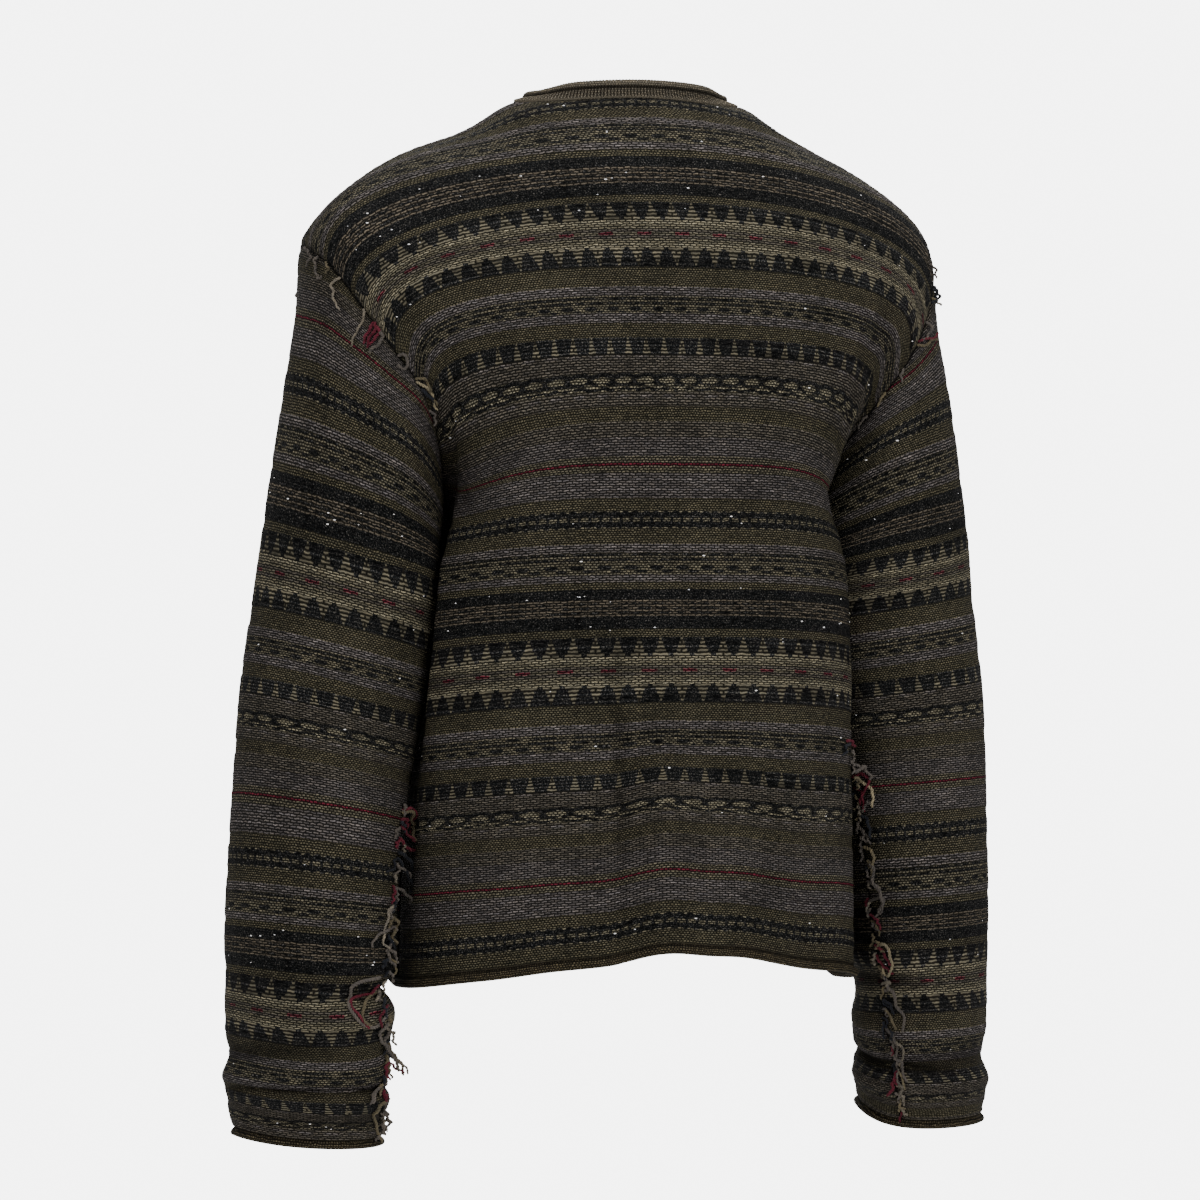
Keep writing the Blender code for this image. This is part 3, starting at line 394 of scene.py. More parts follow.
def grid_normals(grid, flip):
    """Return a normal at each point of a grid."""
    down = np.gradient(grid, axis=0)
    across = np.gradient(grid, axis=1)
    return unit(np.cross(across, down)) * (-1.0 if flip else 1.0)


def new_piece(name, points, faces, material, attributes=None, chart=None):
    """Make a smooth mesh object; chart gives each point its place in the knitting chart."""
    mesh = bpy.data.meshes.new(name)
    mesh.from_pydata(points.tolist(), [], faces)
    if chart is not None:
        layer = mesh.uv_layers.new(name="chart")
        corner = np.zeros(len(mesh.loops), dtype=np.int32)
        mesh.loops.foreach_get("vertex_index", corner)
        layer.data.foreach_set("uv", chart[corner].astype(np.float32).ravel())
    for key, values in (attributes or {}).items():
        layer = mesh.attributes.new(key, "FLOAT", "POINT")
        layer.data.foreach_set("value", np.asarray(values, dtype=np.float32))
    mesh.materials.append(material)
    mesh.shade_smooth()
    item = bpy.data.objects.new(name, mesh)
    bpy.context.scene.collection.objects.link(item)
    return item


def turn_outwards(item):
    """Make every face of a closed mesh point outwards."""
    shape = bmesh.new()
    shape.from_mesh(item.data)
    bmesh.ops.recalc_face_normals(shape, faces=shape.faces)
    shape.to_mesh(item.data)
    shape.free()


def cloth_faces(rows, columns, rolled):
    """Return the faces of a double wall: outside, roll, and inside with fewer rows."""
    ids = np.arange((rows + rolled) * columns).reshape(-1, columns)
    a, b, c, d = ids[:-1, :-1], ids[:-1, 1:], ids[1:, 1:], ids[1:, :-1]
    faces = np.stack([a, b, c, d], axis=-1).reshape(-1, 4).tolist()
    stops = list(range(rows - 1, -1, -INSIDE_STEP))
    inside = {}
    start = ids.size
    for stop in stops[:-1]:
        row = np.arange(start, start + columns - 2)
        inside[stop] = np.concatenate([[ids[stop, 0]], row, [ids[stop, -1]]])
        start += columns - 2
    inside[0] = ids[0]
    last = ids[-1]
    low = inside[rows - 1]
    for k in range(1, columns - 2):
        faces.append([last[k], last[k + 1], low[k + 1], low[k]])
    for high, below in zip(stops[1:], stops[:-1]):
        upper, lower = inside[high], inside[below]
        for k in range(1, columns - 2):
            faces.append([lower[k], lower[k + 1], upper[k + 1], upper[k]])
        right = ids[high + 1:below, 0].tolist()
        left = ids[high + 1:below, -1].tolist()
        faces.append([lower[0], lower[1], upper[1], upper[0]] + right)
        faces.append([lower[-2], lower[-1]] + left[::-1] + [upper[-1], upper[-2]])
    roll_ids = ids[rows:]
    faces.append([last[0], last[1], low[1], low[0]])
    faces.append([last[-2], last[-1], low[-1], low[-2]])
    faces.append([ids[rows - 1, 0]] + roll_ids[:, 0].tolist())
    faces.append(([ids[rows - 1, -1]] + roll_ids[:, -1].tolist())[::-1])
    return faces, stops[:-1], start


def make_cloth(name, net, roll_net, normals, chart, roll_chart, relief, seam_distance, hollow,
               material):
    """Make one cloth piece from the net of points in the middle of its wall."""
    rows, columns = net.shape[:2]
    taper = ease(seam_distance / SEAM_VALLEY)
    outer = net + normals * ((WALL / 2.0 + relief) * taper)[:, :, None]
    rolled = roll_net + normals[-1][None] * np.array([out for _, out in ROLL])[:, None, None]
    inner = net - normals * (WALL / 2.0 * taper)[:, :, None]
    faces, stops, count = cloth_faces(rows, columns, len(ROLL))
    points = np.concatenate([outer.reshape(-1, 3), rolled.reshape(-1, 3),
                             inner[stops, 1:-1].reshape(-1, 3)])
    places = np.concatenate([chart.reshape(-1, 2), roll_chart.reshape(-1, 2),
                             chart[stops, 1:-1].reshape(-1, 2)])
    on_roll = np.zeros(count)
    on_roll[rows * columns:(rows + len(ROLL)) * columns] = 1.0
    # The seam attribute is painted shade: it darkens the wool in the valley beside a seam, in the
    # bottom of deep folds and in the groove where the roll starts.
    seam = np.zeros(count)
    shade = FOLD_SHADE * ease(-hollow / FOLD_DEPTH)
    seam[:rows * columns] = np.maximum(1.0 - ease(seam_distance / SEAM_SHADE_WIDTH), shade).ravel()
    for step, share in enumerate(ROLL_GROOVE_SHADE):
        seam[(rows + step) * columns:(rows + step + 1) * columns] = share
    dark = np.zeros(count)
    dark[:rows * columns] = is_dark(chart[:, :, 1]).ravel()
    item = new_piece(name, points, faces, material,
                     {"rolled": on_roll, "seam": seam, "dark": dark}, places)
    turn_outwards(item)
    print(name, "has", len(item.data.polygons), "faces,",
          sum(len(p.vertices) - 2 for p in item.data.polygons), "triangles")
    return item


# %% [markdown]
# ## The knitting chart
# Fair isle repeats come from a chart.  This one is 300 mm tall and is written as stripes: where
# each starts, its ground yarn, its second yarn, what small figure the second yarn makes, and the
# kind of stitch.  Colour ramps with constant steps hold such a table very cheaply inside a
# shader, and each figure is a little sum on the cloth coordinates, so stitches stay crisp.
# Where worn cloth is drawn out or taken up, tables say by how many millimetres the chart moves.

# %% Yarns and stripes
def srgb(red, green, blue):
    """Return a linear colour from 8-bit screen values."""
    def linear(value):
        value /= 255.0
        return value / 12.92 if value <= 0.04045 else ((value + 0.055) / 1.055) ** 2.4
    return tuple(linear(value) for value in (red, green, blue))


YARNS = {
    "grey": srgb(80, 76, 75), "taupe": srgb(76, 72, 66), "olive": srgb(80, 76, 62),
    "khaki": srgb(92, 88, 75), "bark": srgb(86, 82, 70), "ecru": srgb(114, 109, 93),
    "black": srgb(9, 11, 13), "burgundy": srgb(88, 28, 42), "brown": srgb(80, 74, 65),
}
(NO_FIGURE, TREES_DOWN, TREES_UP, LATE_TREES, THIN_LINES, BLOBS, RED_DASHES, WAVES,
 LENSES) = range(9)
STITCHES = {
    # width and height of a stitch in millimetres, and how far it stands proud
    "float": (4.8, 1.70, 0.25), "dot": (2.9, 1.70, 0.20), "mesh": (2.40, 1.55, -0.30),
    "plain": (2.4, 1.60, 0.12), "bar": (61.6, 2.766, 0.20), "chain": (3.2, 1.55, 0.15),
    "small": (61.6, 2.392, 0.20),
}
REPEAT = 300.0
STRIPES = [
    # start, ground, second yarn, figure, stitch
    (0.0, "bark", "black", TREES_DOWN, "bar"),
    (13.9, "ecru", "black", NO_FIGURE, "float"),
    (17.2, "khaki", "black", NO_FIGURE, "float"),
    (20.0, "taupe", "black", NO_FIGURE, "float"),
    (22.6, "khaki", "burgundy", RED_DASHES, "float"),
    (24.2, "taupe", "black", NO_FIGURE, "float"),
    (27.2, "khaki", "black", NO_FIGURE, "float"),
    (30.1, "ecru", "black", NO_FIGURE, "float"),
    (33.2, "bark", "black", TREES_UP, "bar"),
    (47.1, "olive", "olive", NO_FIGURE, "mesh"),
    (61.5, "grey", "black", NO_FIGURE, "float"),
    (68.4, "bark", "black", THIN_LINES, "dot"),
    (76.0, "khaki", "black", BLOBS, "dot"),
    (80.8, "grey", "black", NO_FIGURE, "float"),
    (87.8, "olive", "olive", NO_FIGURE, "mesh"),
    (98.1, "bark", "black", LATE_TREES, "small"),
    (110.0, "taupe", "black", NO_FIGURE, "float"),
    (122.3, "ecru", "black", LENSES, "dot"),
    (134.7, "taupe", "black", NO_FIGURE, "float"),
    (143.0, "olive", "olive", NO_FIGURE, "mesh"),
    (153.4, "taupe", "black", NO_FIGURE, "float"),
    (163.0, "grey", "black", NO_FIGURE, "float"),
    (175.5, "bark", "black", NO_FIGURE, "dot"),
    (180.4, "burgundy", "black", NO_FIGURE, "dot"),
    (181.8, "bark", "black", NO_FIGURE, "dot"),
    (186.6, "grey", "black", NO_FIGURE, "float"),
    (203.8, "olive", "olive", NO_FIGURE, "mesh"),
    (212.1, "khaki", "black", WAVES, "chain"),
    (224.6, "olive", "olive", NO_FIGURE, "mesh"),
    (234.9, "grey", "black", NO_FIGURE, "float"),
    (240.5, "bark", "black", THIN_LINES, "dot"),
    (249.0, "khaki", "black", BLOBS, "dot"),
    (255.7, "grey", "black", NO_FIGURE, "float"),
    (261.2, "olive", "olive", NO_FIGURE, "mesh"),
    (266.2, "black", "black", NO_FIGURE, "plain"),
    (273.5, "brown", "black", THIN_LINES, "float"),
    (285.2, "black", "black", NO_FIGURE, "plain"),
    (293.6, "olive", "olive", NO_FIGURE, "mesh"),
]
BODY_CHART_START = 187.0               # chart place of the shoulder seam, in millimetres
SLEEVE_CHART_START = 136.0             # chart place of the top of the sleeves
NECK_STRETCH = (7.0, 0.055, 0.105)     # mm of chart taken up by the neck, full to v, none from v
SLEEVE_STRETCH = {
    # distance down the sleeve, mm of chart taken up at its outer side and at its seam
    1: [(0.000, 0.0, 0.0), (0.100, 0.0, 0.0), (0.160, 0.0, -8.0), (0.200, 0.0, -11.0),
        (0.270, 2.5, -7.0), (0.345, 1.5, -2.5), (0.382, -2.5, -3.5), (0.430, 0.0, 0.0),
        (0.615, 0.0, 0.0)],
    -1: [(0.000, 2.0, 22.0), (0.045, -3.0, 19.0), (0.085, -10.0, 18.0), (0.125, -4.0, 5.0),
         (0.145, -4.5, 4.0), (0.163, 2.0, 4.0),
         (0.196, 8.0, 12.0), (0.256, 12.0, 12.5), (0.333, 11.0, 13.5), (0.367, 14.0, 15.5),
         (0.420, 13.5, 13.5), (0.455, 15.5, 15.5), (0.490, 13.5, 13.5), (0.615, 13.5, 13.5)],
}
SLEEVE_MORE_TURN = {
    # distance down the sleeve, degrees that its seam is turned further to the back
    1: [(0.000, 0.0), (0.150, 0.0), (0.350, 9.0), (0.615, 9.0)],
    -1: [(0.000, 0.0), (0.150, 0.0), (0.350, 20.0), (0.450, 24.0), (0.550, 31.0), (0.615, 31.0)],
}
CUFF_PINCHES = [
    # sleeve, share and w of a pushed place, its half sizes, mm of chart that it swallows
    (1, 0.56, 0.505, 0.12, 0.055, 17.0), (1, 0.24, 0.500, 0.12, 0.050, -4.5),
    (-1, 0.72, 0.560, 0.12, 0.060, 6.0),
]
CUFF_LIFT = {1: (0.06, 0.003), -1: (0.70, 0.013)}  # share round the cuff, how far it is raised
print("chart:", len(STRIPES), "stripes in", REPEAT, "mm")


def by_stripe(values, chart_y):
    """Return at each chart place the value of its stripe, from one value for each stripe."""
    starts = np.array([stripe[0] for stripe in STRIPES])
    place = np.mod(chart_y * 1000.0, REPEAT)
    return np.array(values)[np.searchsorted(starts, place, side="right") - 1]


def stripe_relief(chart_y):
    """Return in metres how far the stripe at this chart place stands proud."""
    return by_stripe([STITCHES[stripe[4]][2] for stripe in STRIPES], chart_y) / 1000.0


def is_dark(chart_y):
    """Return how much of the stripe at this chart place is black yarn, from 0 to 1."""
    return by_stripe([1.0 if stripe[1] == "black" else 0.35 if stripe[3] != NO_FIGURE else 0.0
                      for stripe in STRIPES], chart_y)


# %% [markdown]
# ## Shader building blocks
# Every wool here shares these effects: cloth that is a little uneven, the stitch itself, and the
# mottled yarn; the jacquard adds the chart.  Each is a node group with named inputs and outputs,
# built once.  The helpers below keep the node code short: `wire` makes a node and connects it,
# `calc` is one sum.

# %% Shader helpers
def wire(tree, kind, inputs=None, **settings):
    """Make a node, set it up, and connect or fill its inputs."""
    node = tree.nodes.new(kind)
    for key, value in settings.items():
        setattr(node, key, value)
    for key, value in (inputs or {}).items():
        if isinstance(value, bpy.types.NodeSocket):
            tree.links.new(value, node.inputs[key])
        else:
            node.inputs[key].default_value = value
    return node


def calc(tree, operation, a, b=0.0, c=0.0):
    """Return the result of one sum."""
    return wire(tree, "ShaderNodeMath", {0: a, 1: b, 2: c}, operation=operation).outputs[0]


def mix_colour(tree, share, a, b, blend_type="MIX"):
    """Return colour a mixed with colour b."""
    node = wire(tree, "ShaderNodeMix", {0: share}, data_type="RGBA", blend_type=blend_type)
    for index, value in ((6, a), (7, b)):
        if isinstance(value, bpy.types.NodeSocket):
            tree.links.new(value, node.inputs[index])
        else:
            node.inputs[index].default_value = (*value, 1.0)
    return node.outputs[2]


def mix_value(tree, share, a, b):
    """Return value a mixed with value b."""
    return wire(tree, "ShaderNodeMix", {0: share, 2: a, 3: b}, data_type="FLOAT").outputs[0]


def scaled(tree, vector, factor):
    """Return a vector times a number."""
    return wire(tree, "ShaderNodeVectorMath", {0: vector, "Scale": factor},
                operation="SCALE").outputs[0]


def new_group(name, inputs, outputs):
    """Make a shader node group with named sockets; return its tree and its two end nodes."""
    tree = bpy.data.node_groups.new(name, "ShaderNodeTree")
    for key, kind, value in inputs:
        socket = tree.interface.new_socket(key, in_out="INPUT", socket_type=kind)
        if value is not None:
            socket.default_value = value
    for key, kind in outputs:
        tree.interface.new_socket(key, in_out="OUTPUT", socket_type=kind)
    return tree, tree.nodes.new("NodeGroupInput"), tree.nodes.new("NodeGroupOutput")


def use_group(tree, group, inputs):
    """Place a node group in a material."""
    node = tree.nodes.new("ShaderNodeGroup")
    node.node_tree = group
    for key, value in inputs.items():
        if isinstance(value, bpy.types.NodeSocket):
            tree.links.new(value, node.inputs[key])
        else:
            node.inputs[key].default_value = value
    return node


# %% Uneven cloth: rows and stitches wander a little off their straight lines
FLOAT, COLOUR, VECTOR = "NodeSocketFloat", "NodeSocketColor", "NodeSocketVector"
WANDER_SCALE = 0.27                    # noise cells to a millimetre
wandering, start, end = new_group(
    "uneven_cloth", [("Cloth", VECTOR, None), ("Wander", FLOAT, 1.0)], [("Cloth", VECTOR)])
wander = wire(wandering, "ShaderNodeTexNoise",
              {"Vector": start.outputs["Cloth"], "Scale": WANDER_SCALE, "Detail": 3.0},
              noise_dimensions="2D")
shift = wire(wandering, "ShaderNodeVectorMath",
             {0: wander.outputs["Color"], 1: (0.5, 0.5, 0.5)}, operation="SUBTRACT")
shift = scaled(wandering, shift.outputs[0], start.outputs["Wander"])
moved = wire(wandering, "ShaderNodeVectorMath",
             {0: start.outputs["Cloth"], 1: shift}, operation="ADD")
wandering.links.new(moved.outputs[0], end.inputs["Cloth"])
print("node group:", wandering.name)

# %% Stitches: rows of short bars, each row set half a stitch on
CREST = 1.9                            # how round a yarn is; 1 is a plain ramp from gap to crest
stitches, start, end = new_group(
    "knit_stitches",
    [("Cloth", VECTOR, None), ("Width", FLOAT, 3.0), ("Height", FLOAT, 1.4),
     ("Gap", FLOAT, 0.5)],
    [("Yarn", FLOAT), ("Chance", FLOAT)])
brick = wire(stitches, "ShaderNodeTexBrick",
             {"Vector": start.outputs["Cloth"], "Color1": (0, 0, 0, 1), "Color2": (1, 1, 1, 1),
              "Mortar": (0.5, 0.5, 0.5, 1), "Scale": 1.0,
              "Mortar Size": calc(stitches, "MULTIPLY", start.outputs["Gap"],
                                  start.outputs["Height"]),
              "Mortar Smooth": 1.0, "Bias": 0.0, "Brick Width": start.outputs["Width"],
              "Row Height": start.outputs["Height"]}, offset=0.5, squash=1.0)
crest = calc(stitches, "POWER", calc(stitches, "SUBTRACT", 1.0, brick.outputs["Fac"]), CREST)
stitches.links.new(crest, end.inputs["Yarn"])
stitches.links.new(brick.outputs["Color"], end.inputs["Chance"])
print("node group:", stitches.name)

# %% Mottled wool: streaks along the row and slow clouds over the cloth
STREAK_CELLS = (0.14, 0.85, 1.0)       # noise cells to a millimetre, so streaks run along the row
CLOUD_CELLS = 0.022
STREAK_SHARE, CLOUD_SHARE, CHANCE_SHARE = 0.9, 0.35, 0.55
PLAIN_LEVEL = 0.9                      # the sum of the three at which a yarn keeps its own tone
WARM = (1.05, 1.0, 0.91)
melange, start, end = new_group(
    "wool_melange",
    [("Cloth", VECTOR, None), ("Color", COLOUR, None), ("Chance", FLOAT, 0.5),
     ("Depth", FLOAT, 0.5)],
    [("Color", COLOUR)])
stretch = wire(melange, "ShaderNodeVectorMath", {0: start.outputs["Cloth"], 1: STREAK_CELLS},
               operation="MULTIPLY")
streaks = wire(melange, "ShaderNodeTexNoise", {"Vector": stretch.outputs[0], "Scale": 1.0,
                                               "Detail": 2.0}, noise_dimensions="2D")
clouds = wire(melange, "ShaderNodeTexNoise",
              {"Vector": start.outputs["Cloth"], "Scale": CLOUD_CELLS, "Detail": 1.0},
              noise_dimensions="2D")
level = calc(melange, "ADD", calc(melange, "MULTIPLY", streaks.outputs["Fac"], STREAK_SHARE),
             calc(melange, "MULTIPLY", clouds.outputs["Fac"], CLOUD_SHARE))
level = calc(melange, "ADD", level,
             calc(melange, "MULTIPLY", start.outputs["Chance"], CHANCE_SHARE))
change = calc(melange, "SUBTRACT", level, PLAIN_LEVEL)
level = calc(melange, "ADD", 1.0, calc(melange, "MULTIPLY", change, start.outputs["Depth"]))
grey_level = wire(melange, "ShaderNodeCombineXYZ", {0: level, 1: level, 2: level})
toned = mix_colour(melange, 1.0, start.outputs["Color"], grey_level.outputs[0], "MULTIPLY")
warm = mix_colour(melange, 1.0, toned, WARM, "MULTIPLY")
tint = wire(melange, "ShaderNodeMapRange", {"Value": streaks.outputs["Fac"], "From Min": 0.35,
                                            "From Max": 0.65})
melange.links.new(mix_colour(melange, tint.outputs[0], toned, warm), end.inputs["Color"])
print("node group:", melange.name)

# %% The chart group: which yarn, which figure and which stitch lies at a place in the cloth
CODE = 10.0                            # ramps hold figure numbers and stitch sizes as tenths
chart_group, start, end = new_group(
    "fair_isle_chart", [("Cloth", VECTOR, None)],
    [("Color", COLOUR), ("Width", FLOAT), ("Height", FLOAT), ("Dark", FLOAT), ("Pale", FLOAT),
     ("Place", VECTOR)])
split = wire(chart_group, "ShaderNodeSeparateXYZ", {0: start.outputs["Cloth"]})
chart_x = split.outputs["X"]
chart_y = calc(chart_group, "FLOORED_MODULO", split.outputs["Y"], REPEAT)
half_y = calc(chart_group, "DIVIDE", calc(chart_group, "FLOORED_MODULO", chart_y, REPEAT / 2),
              REPEAT / 2)
lower_half = calc(chart_group, "GREATER_THAN", chart_y, REPEAT / 2)


def stripe_ramps(pick):
    """Return a value over the chart from two stepped ramps, one for each half of the repeat."""
    sockets = []
    for half in (0, 1):
        node = chart_group.nodes.new("ShaderNodeValToRGB")
        chart_group.links.new(half_y, node.inputs[0])
        ramp = node.color_ramp
        ramp.interpolation = "CONSTANT"
        base = half * REPEAT / 2
        inside = [s for s in STRIPES if base <= s[0] < base + REPEAT / 2]
        before = [s for s in STRIPES if s[0] <= base][-1]
        stops = [(0.0, before)]
        stops += [((s[0] - base) / (REPEAT / 2), s) for s in inside if s[0] > base]
        while len(ramp.elements) < len(stops):
            ramp.elements.new(0.5)
        for element, (position, stripe) in zip(ramp.elements, stops):
            element.position = position
            element.color = pick(stripe)
        sockets.append((node.outputs["Color"], node.outputs["Alpha"]))
    colour = mix_colour(chart_group, lower_half, sockets[0][0], sockets[1][0])
    alpha = mix_value(chart_group, lower_half, sockets[0][1], sockets[1][1])
    return colour, alpha


ground, figure = stripe_ramps(lambda s: (*YARNS[s[1]], s[3] / CODE))
second, _ = stripe_ramps(lambda s: (*YARNS[s[2]], 1.0))
stitch_size, _ = stripe_ramps(lambda s: (STITCHES[s[4]][0] / CODE, STITCHES[s[4]][1] / CODE,
                                         1.0 if s[1] == "black" else 0.0, 1.0))
print("stripe ramps hold", len(STRIPES), "stripes")


# %% Small figures of the chart
TREE_PITCH = 15.4
BLOB_PITCH = 18.9
DASH_CELLS = (0.13, 0.62, 1.0)         # noise cells to a millimetre, for gaps in the thin lines
TREE_ROW = STITCHES["bar"][1]
LATE_TREE_ROW = STITCHES["small"][1]


def add(a, b):
    """Return a sum inside the chart group."""
    return calc(chart_group, "ADD", a, b)


def times(a, b):
    """Return a product inside the chart group."""
    return calc(chart_group, "MULTIPLY", a, b)


def less(a, b):
    """Return 1 where a is less than b inside the chart group."""
    return calc(chart_group, "LESS_THAN", a, b)


def distance(a, b):
    """Return how far apart two values are."""
    return calc(chart_group, "ABSOLUTE", calc(chart_group, "SUBTRACT", a, b))


def off_centre(pitch, offset=0.0):
    """Return how far a place is from the middle of its repeat, in millimetres."""
    place = calc(chart_group, "FLOORED_MODULO", add(chart_x, offset + pitch / 2.0), pitch)
    return distance(place, pitch / 2.0)


def trees(first, rows, row_height, narrow, widen, points, upwards):
    """Return 1 on the black yarn round light trees; points adds a row of small black points."""
    depth = calc(chart_group, "DIVIDE", calc(chart_group, "SUBTRACT", chart_y, first), row_height)
    if upwards:
        depth = calc(chart_group, "SUBTRACT", rows + points, depth)
    row = calc(chart_group, "FLOOR", depth)
    off = off_centre(TREE_PITCH)
    black = calc(chart_group, "GREATER_THAN", off, add(narrow, times(row, widen)))
    black = calc(chart_group, "MAXIMUM", black, less(depth, 0.22))
    if points:
        small = calc(chart_group, "GREATER_THAN", off, TREE_PITCH / 2.0 - 1.9)
        black = mix_value(chart_group, less(depth, rows), small, black)
    return black


def wavy(pitch, phase=0.0):
    """Return a wave along the row."""
    turn = add(times(chart_x, 2.0 * math.pi / pitch), phase)
    return calc(chart_group, "SINE", turn)


def line(place, half_height, waviness=None):
    """Return 1 on a thin black line at a place of the chart."""
    where = place if waviness is None else add(waviness, place)
    return less(distance(chart_y, where), half_height)


def lens(place, pitch, offset, half_length, half_height):
    """Return 1 in a row of lens shapes."""
    share = calc(chart_group, "DIVIDE", off_centre(pitch, offset), half_length)
    bulge = calc(chart_group, "SQRT", calc(chart_group, "MAXIMUM", calc(
        chart_group, "SUBTRACT", 1.0, times(share, share)), 0.0))
    return less(distance(chart_y, place), times(bulge, half_height))


def any_of(*values):
    """Return 1 where any mask is 1."""
    result = values[0]
    for value in values[1:]:
        result = calc(chart_group, "MAXIMUM", result, value)
    return result


stretched = wire(chart_group, "ShaderNodeVectorMath",
                 {0: start.outputs["Cloth"], 1: DASH_CELLS}, operation="MULTIPLY")
luck = wire(chart_group, "ShaderNodeTexNoise", {"Vector": stretched.outputs[0], "Scale": 1.0,
                                                "Detail": 1.0}, noise_dimensions="2D")
dashed = calc(chart_group, "GREATER_THAN", luck.outputs["Fac"], 0.38)
ragged = times(wavy(5.3, 1.0), 0.28)
scallop = wavy(BLOB_PITCH, 0.6)
masks = {
    TREES_DOWN: trees(0.0, 4, TREE_ROW, 0.8, 0.95, 1, False),
    TREES_UP: trees(33.2, 4, TREE_ROW, 0.8, 0.95, 1, True),
    LATE_TREES: trees(98.1, 5, LATE_TREE_ROW, 0.6, 0.62, 0, False),
    THIN_LINES: times(any_of(
        line(70.4, 0.80, ragged), line(73.8, 0.80, ragged), line(242.4, 0.80, ragged),
        line(246.0, 0.80, ragged), line(276.6, 0.62, ragged), line(279.8, 0.62, ragged),
        line(283.0, 0.62, ragged)), dashed),
    BLOBS: any_of(lens(77.9, BLOB_PITCH, 0.0, 5.4, 1.5), lens(80.0, BLOB_PITCH, 7.5, 3.4, 0.8),
                  lens(251.4, BLOB_PITCH, 0.0, 5.4, 1.5), lens(253.8, BLOB_PITCH, 8.0, 4.4, 1.0)),
    LENSES: any_of(
        line(124.0, 1.35, times(scallop, 0.45)),
        calc(chart_group, "SUBTRACT", line(127.6, 1.6), calc(
            chart_group, "MINIMUM", line(127.6, 1.6), lens(127.3, BLOB_PITCH, 5.0, 7.6, 1.5))),
        times(line(130.0, 0.66, ragged), dashed),
        times(line(132.8, 1.05, times(scallop, 0.5)), dashed)),
    RED_DASHES: less(off_centre(29.5, 6.0), 5.4),
    WAVES: calc(chart_group, "MULTIPLY", line(218.4, 5.4, times(wavy(7.5), 0.55)), calc(
        chart_group, "SUBTRACT", 1.0, times(line(218.4, 1.5, times(wavy(15.0), 0.45)),
                                            less(wavy(7.5, 0.8), 0.62)))),
}
pale = any_of(lens(63.0, BLOB_PITCH, 3.0, 6.0, 1.1), lens(65.6, BLOB_PITCH, 11.0, 5.0, 0.9),
              lens(82.6, BLOB_PITCH, 9.0, 6.0, 1.0), lens(85.8, BLOB_PITCH, 1.0, 6.5, 1.1),
              lens(236.6, BLOB_PITCH, 3.0, 6.0, 1.1), lens(258.6, BLOB_PITCH, 9.0, 6.0, 1.1),
              lens(112.0, BLOB_PITCH, 2.0, 6.5, 0.9), lens(137.4, BLOB_PITCH, 6.0, 6.0, 1.0),
              lens(191.0, BLOB_PITCH, 5.0, 6.0, 0.8), lens(198.0, BLOB_PITCH, 13.0, 6.5, 0.8))
figure_mask = 0.0
for kind, mask in masks.items():
    near = calc(chart_group, "COMPARE", figure, kind / CODE, 0.3 / CODE)
    figure_mask = calc(chart_group, "MULTIPLY_ADD", near, mask, figure_mask)
size = wire(chart_group, "ShaderNodeSeparateColor", {0: stitch_size})
chart_group.links.new(mix_colour(chart_group, figure_mask, ground, second), end.inputs["Color"])
chart_group.links.new(times(size.outputs[0], CODE), end.inputs["Width"])
chart_group.links.new(times(size.outputs[1], CODE), end.inputs["Height"])
not_red = calc(chart_group, "GREATER_THAN", distance(figure, RED_DASHES / CODE), 0.3 / CODE)
dark = calc(chart_group, "MAXIMUM", size.outputs[2], times(figure_mask, not_red))
chart_group.links.new(dark, end.inputs["Dark"])
chart_group.links.new(pale, end.inputs["Pale"])
repeated = wire(chart_group, "ShaderNodeCombineXYZ", {0: chart_x, 1: chart_y})
chart_group.links.new(repeated.outputs[0], end.inputs["Place"])
print("chart figures:", len(masks))


# %% [markdown]
# ## Wool materials
# Wool scatters light, so it is rough and hardly glossy; only loose fibres catch a little sheen.
# The stitch group gives both the painted shade in the gaps between yarns and the bump, the chart
# gives the yarn, and the mottle breaks up any flat colour.

# %% Wool materials
FIBRE_SHEEN = 0.10
PALE_FIGURE = srgb(106, 101, 102)
EDGE_YARN = srgb(80, 73, 57)
# the colour of the painted shade in seam valleys, fold bottoms and the groove of the roll
PAINTED_SHADE_TONE = srgb(16, 14, 11)
SPECK_TONE = srgb(80, 78, 76)
EDGE_STITCH = (1.9, 1.5)               # width and height of a stitch on the rolled edge, in mm
GAP_SHADE_TONES = (0.04, 0.30)               # how light the painted shade in the gaps between yarns is, in coloured and in black yarn
MOTTLES = (1.5, 3.2)                   # how strong the mottle is, in the same order


def wool_shader(name, sheen=0.0):
    """Make a rough material, with sheen for loose fibre; return it with its tree and shader."""
    material = bpy.data.materials.new(name)
    material.use_nodes = True
    tree = material.node_tree
    shader = tree.nodes["Principled BSDF"]
    shader.inputs["Roughness"].default_value = 0.88
    shader.inputs["Specular IOR Level"].default_value = 0.05
    shader.inputs["Sheen Weight"].default_value = sheen
    shader.inputs["Sheen Roughness"].default_value = 0.45
    shader.inputs["Sheen Tint"].default_value = (0.55, 0.50, 0.44, 1.0)
    return material, tree, shader


def chart_place(tree):
    """Return a piece's place in the chart, in millimetres."""
    uv = wire(tree, "ShaderNodeUVMap", uv_map="chart")
    return scaled(tree, uv.outputs[0], 1000.0)


